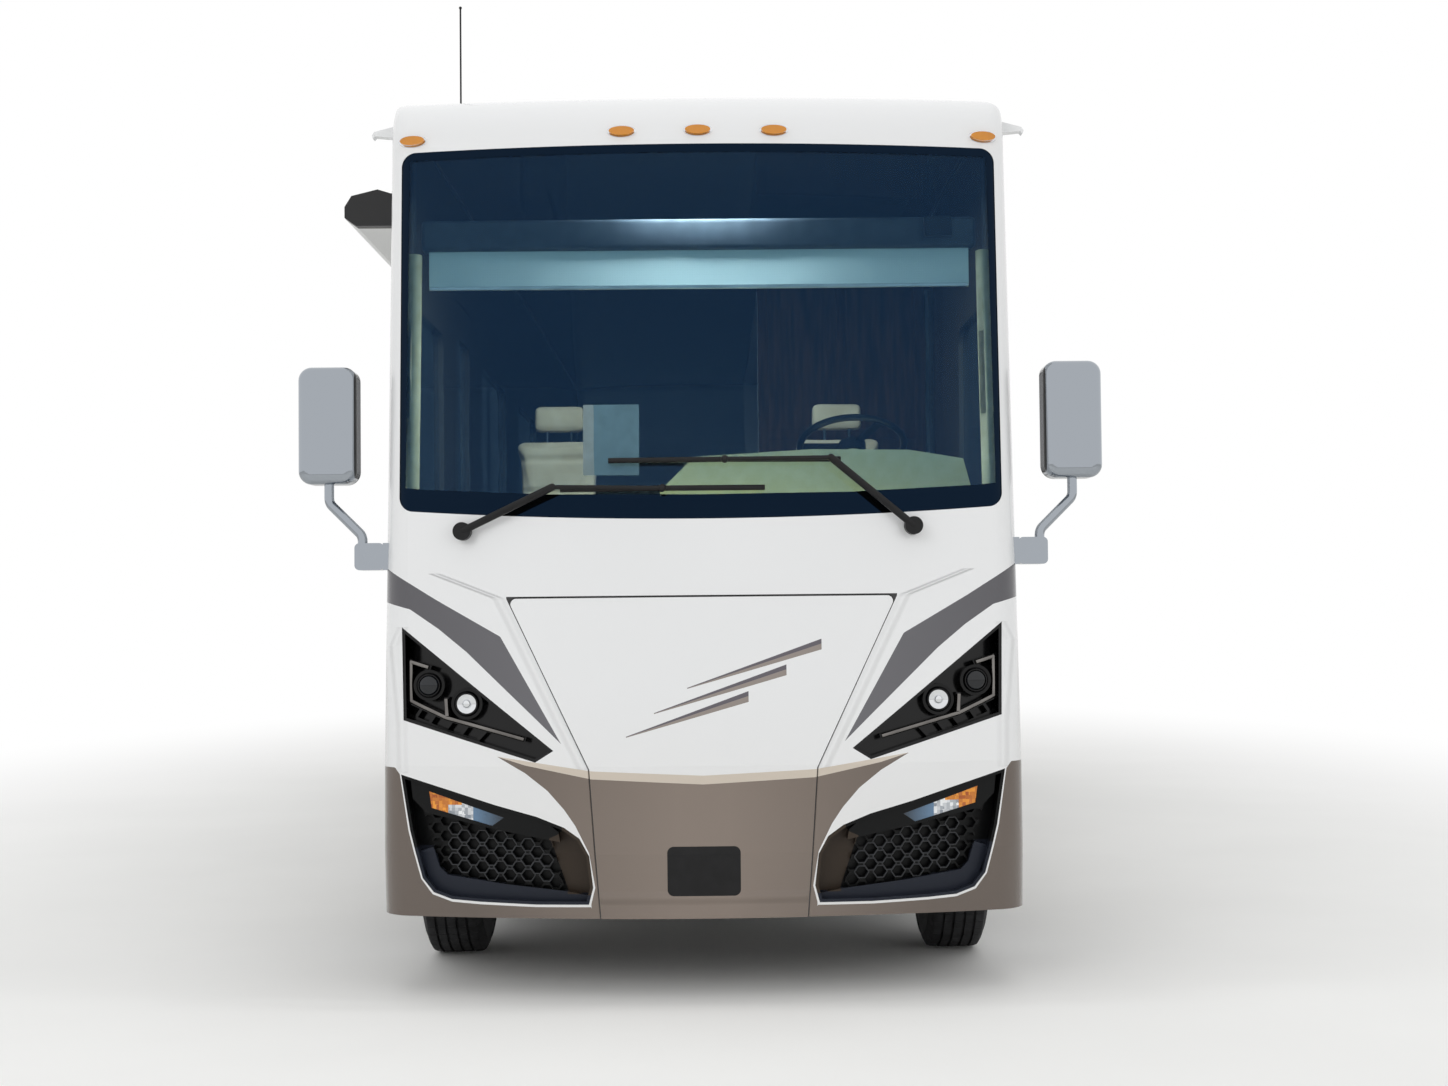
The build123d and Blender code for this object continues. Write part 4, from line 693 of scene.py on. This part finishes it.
def foamBlock(name, low, high, radius, channels, turn=None, pivot=None, pull=0.02):
    # a block with sides pulled in between its corners and sewn channels across its face
    bm = bmesh.new()
    addBlock(bm, low, high, radius, 3)
    low, high = Vector(low), Vector(high)
    middle, size = (low + high) / 2, high - low
    bmesh.ops.recalc_face_normals(bm, faces=bm.faces)
    piece = newObject(name, meshFrom(name, bm))
    remesh = piece.modifiers.new("even", "REMESH")
    remesh.mode = "VOXEL"
    remesh.voxel_size = seat["voxel"]
    even = bpy.data.meshes.new_from_object(evaluated(piece))
    piece.modifiers.clear()
    piece.data = even
    for vert in even.vertices:
        share = [(vert.co[i] - middle[i]) / (size[i] / 2) for i in range(3)]
        for i, j in ((0, 1), (1, 0), (0, 2)):
            vert.co[i] -= pull * share[i] * max(0.0, 1 - share[j] ** 2) * (abs(share[i]) > 0.5)
    fillCushion(piece)
    # the sewn face is the top of a cushion and the front of a back
    face, way, across = (2, 1, 1) if size.z < size.y else (1, -1, 2)
    for vert in even.vertices:
        for line in channels:
            near = abs(vert.co[across] - line) / seat["seamHalf"]
            if near < 1 and (vert.co[face] - middle[face]) * way > 0:
                vert.co[face] -= way * seat["seamDeep"] * (1 - near ** 2)
    if turn:
        even.transform(Matrix.Translation(pivot) @ turn @ Matrix.Translation(-Vector(pivot)))
    even.materials.append(finish["leather"])
    even.shade_smooth()
    makeFiner(piece)
    return piece


x0, y0 = seat["x"][0], seat["y"]
lean = Matrix.Rotation(radians(-seat["recline"]), 4, "X")
hingeY, hingeZ = y0 + seat["hinge"][0], seat["hinge"][1]
hinge, head = (x0, hingeY, hingeZ), hingeZ + seat["backHeight"]
half, (near, far), (under, over) = seat["headRest"]
pads = [
    foamBlock("seatCushion.left", (x0 - seat["half"], y0 - seat["front"], seat["low"]),
              (x0 + seat["half"], y0 + seat["back"], seat["high"]), seat["edge"],
              [y0 + seam for seam in seat["seams"]]),
    foamBlock("seatBack.left", (x0 - seat["half"] + 0.01, hingeY, hingeZ),
              (x0 + seat["half"] - 0.01, hingeY + seat["backDepth"], head), seat["edge"],
              [hingeZ + seam for seam in seat["backSeams"]], lean, hinge),
    foamBlock("headRest.left", (x0 - half, hingeY + near, head + under),
              (x0 + half, hingeY + far, head + over), 0.04, (), lean, hinge, 0.01)]
for pad in list(pads):
    twin = newObject(pad.name.replace("left", "right"), pad.data.copy())
    twin.data.transform(Matrix.Translation((seat["x"][1] - x0, 0, 0)))
    makeFiner(twin)
    pads.append(twin)
for pad in pads:
    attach(pad, "coach")
bm, arms = bmesh.new(), bmesh.new()
heights, thick = pedestal["post"]
aside, behind, rises, rod = pedestal["rods"]
out, wide, (front, back), (low, high) = seat["arms"]
for x in seat["x"]:
    for half, (near, far), (under, over), edge in pedestal["plates"]:
        addBlock(bm, (x - half, y0 + near, under), (x + half, y0 + far, over), edge)
    addBar(bm, *[(x, y0, z) for z in heights], thick, 32)
    for offset in aside:
        ends = [lean @ Vector((offset, behind, rise)) + Vector((x, hingeY, hingeZ)) for rise in rises]
        addBar(bm, *ends, rod)
    for side in (-1, 1):
        x0, x1 = sorted((x + side * out, x + side * (out - wide)))
        addBlock(arms, (x0, y0 + front, low), (x1, y0 + back, high), 0.022, 4)
pedestals = finishPiece("seatPedestals", bm, "steel")
rests = finishPiece("armRests", arms, "leather")
for piece in (*pads, pedestals, rests):
    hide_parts("front_seats")
print("seats filled")

# roller shade: cloth off a tube in a cassette, with a valance and a hem bar
blind = {"half": 1.12, "low": 2.852, "top": 3.012, "y": noseY + 0.471, "wave": 0.0012,
         "cassette": ((-1.15, noseY + 0.449, 3.0), (1.15, noseY + 0.527, 3.13)), "hem": (0.008, 2.838, 2.854)}
bm = bmesh.new()
grid = bmesh.ops.create_grid(bm, x_segments=120, y_segments=12, size=0.5)["verts"]
flat = (2 * blind["half"], blind["top"] - blind["low"])
bmesh.ops.scale(bm, vec=(*flat, 1), verts=grid)
middle = Matrix.Translation((0, blind["y"], (blind["top"] + blind["low"]) / 2))
bmesh.ops.transform(bm, verts=grid, matrix=middle @ Matrix.Rotation(pi / 2, 4, "X"))
for vert in grid:
    vert.co.y += blind["wave"] * (sin(vert.co.x * 9) + 0.6 * sin(vert.co.x * 23 + 1))
cloth = finishPiece("shadeCloth", bm, "shadeCloth", ["front_shade"])
bm = bmesh.new()
thick, low, high = blind["hem"]
addBlock(bm, (-blind["half"], blind["y"] - thick, low), (blind["half"], blind["y"] + thick, high), 0.005)
hem = finishPiece("hemBar", bm, "aluminium", ["front_shade"])
bm = bmesh.new()
addBlock(bm, *blind["cassette"], 0.02)
finishPiece("shadeCassette", bm, "valance", ["front_shade"])
print("shade hung")


def onSkin(name, x, z, lift=0.0, way=1):
    # the point on a node's forward face at x and z, moved forward by lift; way -1 is for the tail
    hit = nodes[name].ray_cast(Vector((x, way * (noseY - 1.0), z)), Vector((0, way, 0)))[1]
    return Vector((x, hit.y - way * lift, z))


# cab trim behind the windshield: pillar covers, a card in the corner of the glass, a sensor pod
cab = {"pillar": (1.178, 0.030, (1.96, 2.30, 2.64, 2.985), 0.075), "lean": 0.12,
       "windowCard": ((-0.357, 2.189), (0.224, 0.0008, 0.288), 0.018, 0.0, "paper"),
       "cabSensor": ((0.987, 3.08), (0.115, 0.03, 0.085), 0.045, 0.008, "blackPlastic")}
bm = bmesh.new()
x, radius, heights, behind = cab["pillar"]
for side in (-1, 1):
    addTube(bm, [onSkin("windshield", side * x, z, -behind) for z in heights], radius, 20)
finishPiece("pillarTrims", bm, "creamPlastic")
for name in ("windowCard", "cabSensor"):
    (x, z), size, behind, radius, key = cab[name]
    middle, half = onSkin("windshield", x, z, -behind), Vector(size) / 2
    bm = bmesh.new()
    addBlock(bm, middle - half, middle + half, radius, 3, Matrix.Rotation(-cab["lean"], 4, "X"))
    finishPiece(name, bm, key)

# a veneered wardrobe front stands before the slide-out room's end wall, in two boards with a frame
wardrobe = {"x": (0.30, 1.205), "z": (1.352, 3.47), "y": noseY + 2.845, "thick": 0.018, "rail": 0.055,
            "proud": 0.008}
bm = bmesh.new()
(x0, x1), (z0, z1), y = wardrobe["x"], wardrobe["z"], wardrobe["y"]
addBlock(bm, (x0, y, z0), (x1, y + wardrobe["thick"], z1), 0.002, 1)
rail, front = wardrobe["rail"], y - wardrobe["proud"]
middle = (x0 + x1) / 2
for left in (x0, middle - rail / 2, x1 - rail):
    addBlock(bm, (left, front, z0), (left + rail, y + 0.002, z1), 0.003, 2)
for low in (z0, (z0 + z1) / 2, z1 - rail):
    addBlock(bm, (x0 + 0.01, front + 0.001, low), (x1 - 0.01, y + 0.002, low + rail), 0.003, 2)
finishPiece("wardrobeFront", bm, "veneer")
print("cab dressed")

# lamps: reflectors, lenses and rims on the projectors, plated bars on the bezels, rims round the ambers
lamps = {"projectors": ((1.090, 1.216), (0.935, 1.143)), "lens": 0.038, "rim": (0.038, 0.052), "proud": 0.012,
         "bezel": ((1.092, 1.287), (1.166, 1.309), (1.163, 1.154), (1.018, 1.088), (0.703, 1.004)),
         "hook": ((1.019, 1.162), (1.014, 1.094)), "bar": 0.0095, "dome": (0.008, 0.014),
         "reflector": [(-0.010, 0.038), (-0.006, 0.033), (-0.006, 0.029), (-0.002, 0.024), (-0.002, 0.018),
                       (-0.010, 0.015), (-0.014, 0.008), (-0.015, 0.0)],
         "brow": ((0, 3.470), (0.312, 3.468), (-0.312, 3.468), (1.184, 3.459), (-1.184, 3.459)),
         "oval": (0.064, 0.030), "border": 0.12, "sunk": 0.003, "raised": 0.004}
smoked, bright, rims, strips = (bmesh.new() for _ in range(4))
low, high = lamps["rim"]
foot, rise = lamps["dome"]
dome = [(-foot - rise * sin(a), lamps["lens"] * cos(a)) for a in (0.0, 0.25, 0.5, 0.75, 1.0, 1.25)]
rim = [(0.002, low), (-lamps["proud"], low + 0.002), (-lamps["proud"], low + 0.006), (0.002, high)]
for side in (-1, 1):
    outer, inner = (onSkin("headlamps", side * x, z) for x, z in lamps["projectors"])
    addSpun(smoked, [*dome, (-foot - rise, 0.0)], outer, "Y", 48, False)
    addSpun(bright, lamps["reflector"], inner, "Y", 48, False)
    for spot in (outer, inner):
        addSpun(rims, rim, spot, "Y", 48)
    for points in (lamps["bezel"], lamps["hook"]):
        addTube(strips, [onSkin("headlamps", side * x, z, 0.002) for x, z in points], lamps["bar"], 14)
for name, bm, key in (("outerLenses", smoked, "smokedLens"), ("innerReflectors", bright, "chrome"),
                      ("projectorRims", rims, "glossBlack"), ("bezelBars", strips, "smokedChrome")):
    finishPiece(name, bm, key)

# raised beads round the cells of the corner grilles, wherever a whole cell shows; their grey, lighter than
# the grille's black, is partly painted highlight on the rib edges
beads = {"start": (0.545, 0.412), "pitch": (0.073, 0.030), "columns": 8, "rows": 11,
         "bead": ((-0.029, 0.0), (-0.013, 0.0235), (0.013, 0.0235), (0.029, 0.0), (0.013, -0.0235),
                  (-0.013, -0.0235)),
         "inset": 0.048, "slack": 0.008, "radius": 0.0032}
nose = {"fold": 0.56, "below": 0.035 / 0.253, "above": 0.008 / 0.34, "bow": 0.18}


def noseDepth(x, z):
    # the nose's own face low down: leaned back below its fold, a little above it, and bowed in plan
    off = z - nose["fold"]
    lean = nose["below"] * max(0.0, -off) + nose["above"] * max(0.0, off)
    return noseY + lean + nose["bow"] * (x / halfWidth) ** 2


bm = bmesh.new()
for side in (-1, 1):
    for row in range(beads["rows"]):
        for column in range(beads["columns"]):
            x = beads["start"][0] + (column + 0.5 * (row % 2)) * beads["pitch"][0]
            z = beads["start"][1] + row * beads["pitch"][1]
            corners = [onSkin("corner_grilles", side * (x + a), z + b, 0.0005) for a, b in beads["bead"]]
            deep = [spot.y - noseDepth(spot.x, spot.z) - beads["inset"] for spot in corners]
            if max(map(abs, deep)) < beads["slack"]:
                for start, end in zip(corners, corners[1:] + corners[:1]):
                    addBar(bm, start, end, beads["radius"], 6)
finishPiece("grilleBeads", bm, "ribPlasticAndHighlight")
bm = bmesh.new()
wide, tall = lamps["oval"]
for x, z in lamps["brow"]:
    disc = bmesh.ops.create_circle(bm, cap_ends=True, segments=40, radius=1.0)["verts"]
    ring = bmesh.ops.inset_region(bm, faces=[disc[0].link_faces[0]], thickness=lamps["border"],
                                  use_boundary=True)["faces"]
    for vert in {vert for face in ring for vert in face.verts}:
        lift = -lamps["sunk"] if vert.co.length > 1 - lamps["border"] / 2 else lamps["raised"]
        vert.co = onSkin("front_cap", x + vert.co.x * wide, z + vert.co.y * tall, lift)
pushOut(bm, bm.faces[:], (0, lamps["raised"], 0))
finishPiece("lampRims", bm, "chrome")
print("lamps dressed")

# window frames: extruded aluminium, anodised black, with a post where a pane slides; side, start and end
# from the nose, sill, top, corner
windows = {"wide": 0.024, "deep": 0.008, "post": (0.012, 0.018),
           "proud": {"coach": 0.0003, "slide_room": 0.0103},
           "coach": ((1, 0.89, 1.64, 1.96, 2.82, 0.09), (-1, 0.89, 1.64, 1.96, 2.82, 0.09),
                     (-1, 3.15, 4.35, 2.05, 2.85, 0.07), (-1, 5.15, 6.45, 2.05, 2.85, 0.07),
                     (1, 8.3, 9.4, 2.15, 2.85, 0.07), (-1, 8.3, 9.4, 2.15, 2.85, 0.07)),
           "slide_room": ((1, 3.35, 4.45, 2.05, 2.85, 0.07), (1, 5.35, 6.5, 2.05, 2.85, 0.07)),
           "seal": (1, 2.88, 6.97, 1.30, 3.25, 0.01), "sealProud": 0.0105, "sealWide": 0.006}
deep, half = windows["post"]
for body, proud in windows["proud"].items():
    bm = bmesh.new()
    for side, start, end, low, high, corner in windows[body]:
        addRing(bm, side, start, end, low, high, corner, halfWidth + proud, windows["wide"], windows["deep"])
        if end - start > 1:
            middle = (start + end) / 2
            addOnWall(bm, side, (proud - deep, proud), (middle - half, middle + half), (low, high))
    finishPiece("windowFrames." + body, bm, "blackPlastic", (), body)
bm = bmesh.new()
addRing(bm, *windows["seal"], halfWidth + windows["sealProud"], windows["sealWide"], windows["sealWide"])
finishPiece("slideSeal", bm, "rubber", (), "slide_room")

# paddle latches on the storage doors: a plate and a paddle near each end of a door
latch = {"wide": 0.11, "tall": 0.07, "z": 0.60, "inset": 0.22,
         "parts": ((0.0, -0.0017, 0.005, 0.004), (-0.014, 0.0043, 0.013, 0.006)),
         "left": ((1.95, 3.50), (3.56, 5.03), (5.09, 6.56), (8.05, 9.85)),
         "right": ((2.85, 4.65), (4.71, 6.56), (8.05, 9.85))}
for hand, side in (("left", 1), ("right", -1)):
    for number, (start, end) in enumerate(latch[hand], 1):
        bm = bmesh.new()
        for y in (start + latch["inset"], end - latch["inset"]):
            for grow, low, high, radius in latch["parts"]:
                half, up, z = latch["wide"] / 2 + grow, latch["tall"] / 2 + grow, latch["z"]
                addOnWall(bm, side, (low, high), (y - half, y + half), (z - up, z + up), radius)
        finishPiece("latches.%s%d" % (hand, number), bm, "chrome", (), "storage_door_%s_%d" % (hand, number))

# the entry door's lock, the grab rail behind it, and the hatches of the filler and the shore power
door = {"lock": (((0.001, 0.013), (2.60, 2.68), (1.78, 1.93), 0.006),
                 ((0.011, 0.027), (2.615, 2.665), (1.86, 1.915), 0.008)),
        "rail": 2.82, "ends": (1.18, 2.02), "out": 0.062, "radius": 0.014, "foot": 0.028}
hatches = {"spots": ((1, 7.62, 0.20, 1.36, 0.22), (1, 10.05, 0.26, 1.42, 0.26), (-1, 7.30, 0.30, 1.60, 0.22)),
           "parts": (((0.0003, 0.0073), 0.5, 0.0035, 2), ((0.0063, 0.0113), 0.42, 0.003, 3)),
           "lock": (0.0103, 0.0163)}
bm = bmesh.new()
for part in door["lock"]:
    addOnWall(bm, -1, *part)
finishPiece("doorLock", bm, "blackPlastic", (), "entry_door")
bm = bmesh.new()
y, (low, high) = noseY + door["rail"], door["ends"]
out, wall = -halfWidth - door["out"], -halfWidth + 0.003
addTube(bm, [(wall, y, low), (out, y, low), (out, y, high), (wall, y, high)], door["radius"], 16)
for z in door["ends"]:
    addBar(bm, (-halfWidth + 0.002, y, z), (-halfWidth - 0.006, y, z), door["foot"], 24)
finishPiece("grabRail", bm, "chrome")
bm, locks = bmesh.new(), bmesh.new()
for side, y, wide, z, tall in hatches["spots"]:
    for reach, share, *edge in hatches["parts"]:
        half, up = wide * share, tall * share
        addOnWall(bm, side, reach, (y - half, y + half), (z - up, z + up), *edge)
    ends = [(side * (halfWidth + far), noseY + y, z - tall * 0.25) for far in hatches["lock"]]
    addBar(locks, *ends, 0.012, 20)
finishPiece("hatches", bm, "whitePlastic")
finishPiece("hatchLocks", locks, "chrome")

# mirror glass on the rearward faces: a flat pane over a small wide-angle one
mirror = {"reach": (0.1495, 0.3575), "panes": ((2.195, 2.495), (2.062, 2.175)), "y": (0.5093, 0.5133)}
bm = bmesh.new()
for side in (-1, 1):
    for pane in mirror["panes"]:
        addOnWall(bm, side, mirror["reach"], mirror["y"], pane, 0.0015, 1)
finishPiece("mirrorPanes", bm, "mirrorGlass")

# tail: lamps across the top, reflectors, a blank plate in its holder with a lamp, a camera
# each with its places, or its place, and then half its width and height, its reach and its edges
tail = {"lamps": [(x, 3.44) for x in (-1.12, -0.26, 0.0, 0.26, 1.12)],
        "lamp": ((0.055, 0.022), (-0.012, 0.016), 0.014, 4),
        "reflectors": ((-0.95, 0.62), (0.95, 0.62)), "reflector": ((0.05, 0.025), (-0.012, 0.008), 0.004),
        "plate": (0.0, 0.95), "half": (0.17, 0.095), "border": 0.012, "lampRise": 0.125,
        "camera": ((0.0, 3.30), (0.05, 0.035), (-0.01, 0.05), 0.015), "lens": (0.048, 0.058)}


def addOnTail(bm, place, half, reach, radius, segments=3):
    # a block on the tail's face: half its width and height, and how far out it starts and ends
    spot, (wide, tall), (near, far) = onSkin("rear_cap", *place, 0.0, -1), half, reach
    addBlock(bm, spot + Vector((-wide, near, -tall)), spot + Vector((wide, far, tall)), radius, segments)
    return spot


bm = bmesh.new()
for kind in ("lamp", "reflector"):
    for place in tail[kind + "s"]:
        addOnTail(bm, place, *tail[kind])
finishPiece("tailMarkers", bm, "red")
bm = bmesh.new()
spot = addOnTail(bm, tail["plate"], tail["half"], (-0.01, 0.008), 0.006) + Vector((0, 0, tail["lampRise"]))
addBlock(bm, spot - Vector((0.06, 0.01, 0.015)), spot + Vector((0.06, 0.03, 0.015)), 0.008)
spot = addOnTail(bm, *tail["camera"])
addBar(bm, *[spot + Vector((0, out, 0)) for out in tail["lens"]], 0.018, 24)
finishPiece("tailFittings", bm, "blackPlastic")
bm = bmesh.new()
addOnTail(bm, tail["plate"], [half - tail["border"] for half in tail["half"]], (0.006, 0.0105), 0.002)
finishPiece("blankPlate", bm, "whitePlastic")

# antenna: a spring foot and a loading coil on the whip; height, radius and end radius of each part
whip = ((0.0, 0.05, 0.020, 24, 0.012), (0.05, 0.085, 0.009, 20, None), (0.085, 0.11, 0.009, 20, 0.0045))
low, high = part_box("antenna")
x, y = (low.x + high.x) / 2, (low.y + high.y) / 2
bm = bmesh.new()
for start, end, radius, sides, endRadius in whip:
    addBar(bm, (x, y, low.z + start), (x, y, low.z + end), radius, sides, endRadius)
bmesh.ops.create_uvsphere(bm, u_segments=16, v_segments=10, radius=0.007,
                          matrix=Matrix.Translation((x, y, high.z)))
finishPiece("antennaFoot", bm, "blackPlastic")
print("outside dressed")

# light, floor and camera; a lamp is its power, place, size and target
light = {"key": (260.0, (-7.0, -16.0, 7.5), 6.0, (0, -4.5, 1.8)),
         "fill": (130.0, (8.0, -15.0, 4.0), 6.0, (0, -4.5, 1.8)),
         "top": (185.0, (0.0, -2.0, 9.5), 9.0, (0, -2.0, 0)),
         "cab": (75.0, (0.0, -5.05, 3.30), 0.5, (0, -5.0, 2.0))}
studio = {"world": 0.72, "floor": ("#f1f1ef", "#f5f5f3"), "floorHalf": 120, "fade": (2.0, 9.0)}
white = (1, 1, 1, 1)
for name, (power, spot, size, target) in light.items():
    data = bpy.data.lights.new(name, "AREA")
    data.energy, data.size = power, size
    lamp = newObject(name, data)
    lamp.location = spot
    lamp.rotation_euler = (Vector(target) - Vector(spot)).to_track_quat("-Z", "Y").to_euler()
    lamp.visible_camera = lamp.visible_glossy = lamp.visible_transmission = False   # no panel in the glass

world = bpy.data.worlds.new("studio")
scene.world = world
world.use_nodes = True
tree = world.node_tree
rays = addNode(tree, "LightPath").node.outputs
seen = maths(tree, "MAXIMUM", rays["Is Camera Ray"], rays["Is Glossy Ray"])
seen = maths(tree, "MAXIMUM", seen, rays["Is Transmission Ray"])
lit, backdrop = (addNode(tree, "Background", {"Color": white, "Strength": level})
                 for level in (studio["world"], 1.0))
shown = addNode(tree, "MixShader", {0: seen, 1: lit, 2: backdrop})
tree.links.new(shown, tree.nodes["World Output"].inputs["Surface"])

bm = bmesh.new()
bmesh.ops.create_grid(bm, x_segments=1, y_segments=1, size=studio["floorHalf"])
floor = newObject("studioFloor", meshFrom("studioFloor", bm))
# seamless paper: matt, and it goes over to the white of the backdrop away from the middle
made, tree, surface, place = newMaterial("seamless paper", Roughness=0.9)
addShades(tree, surface, place, *studio["floor"], 2.0)
oval = addNode(tree, "Mapping", {"Vector": place, "Scale": (1, 0.45, 1)})
away = addNode(tree, "VectorMath", {0: oval}, out="Value", operation="LENGTH")
fade = ramp(tree, away, *studio["fade"], kind="SMOOTHSTEP")
share = maths(tree, "MULTIPLY", fade, addNode(tree, "LightPath", out="Is Camera Ray"))
glow = addNode(tree, "Emission", {"Color": white, "Strength": 1.0})
blend = addNode(tree, "MixShader", {0: share, 1: surface.outputs[0], 2: glow})
tree.links.new(blend, tree.nodes["Material Output"].inputs["Surface"])
floor.data.materials.append(made)

# the camera stands seven and a half metres off the nose, at chest height
view = {"place": (0.04, noseY - 7.4919, 1.5231), "lens": 47.844, "yaw": 0.3776, "pitch": 1.8564,
        "roll": -0.5583}
camera = newObject("camera", bpy.data.cameras.new("camera"))
camera.data.lens = view["lens"]
camera.data.sensor_width = 36.0
camera.data.clip_end = 200.0
yaw, pitch, roll = (radians(view[key]) for key in ("yaw", "pitch", "roll"))
ahead = Vector((sin(yaw) * cos(pitch), cos(yaw) * cos(pitch), sin(pitch)))
right = Vector((cos(yaw), -sin(yaw), 0))
up = right.cross(ahead)
right, up = right * cos(roll) + up * sin(roll), up * cos(roll) - right * sin(roll)
turn = Matrix((right, up, -ahead)).transposed()
camera.matrix_world = Matrix.Translation(view["place"]) @ turn.to_4x4()
scene.camera = camera
scene.view_settings.view_transform = "Standard"
print("lit and framed")
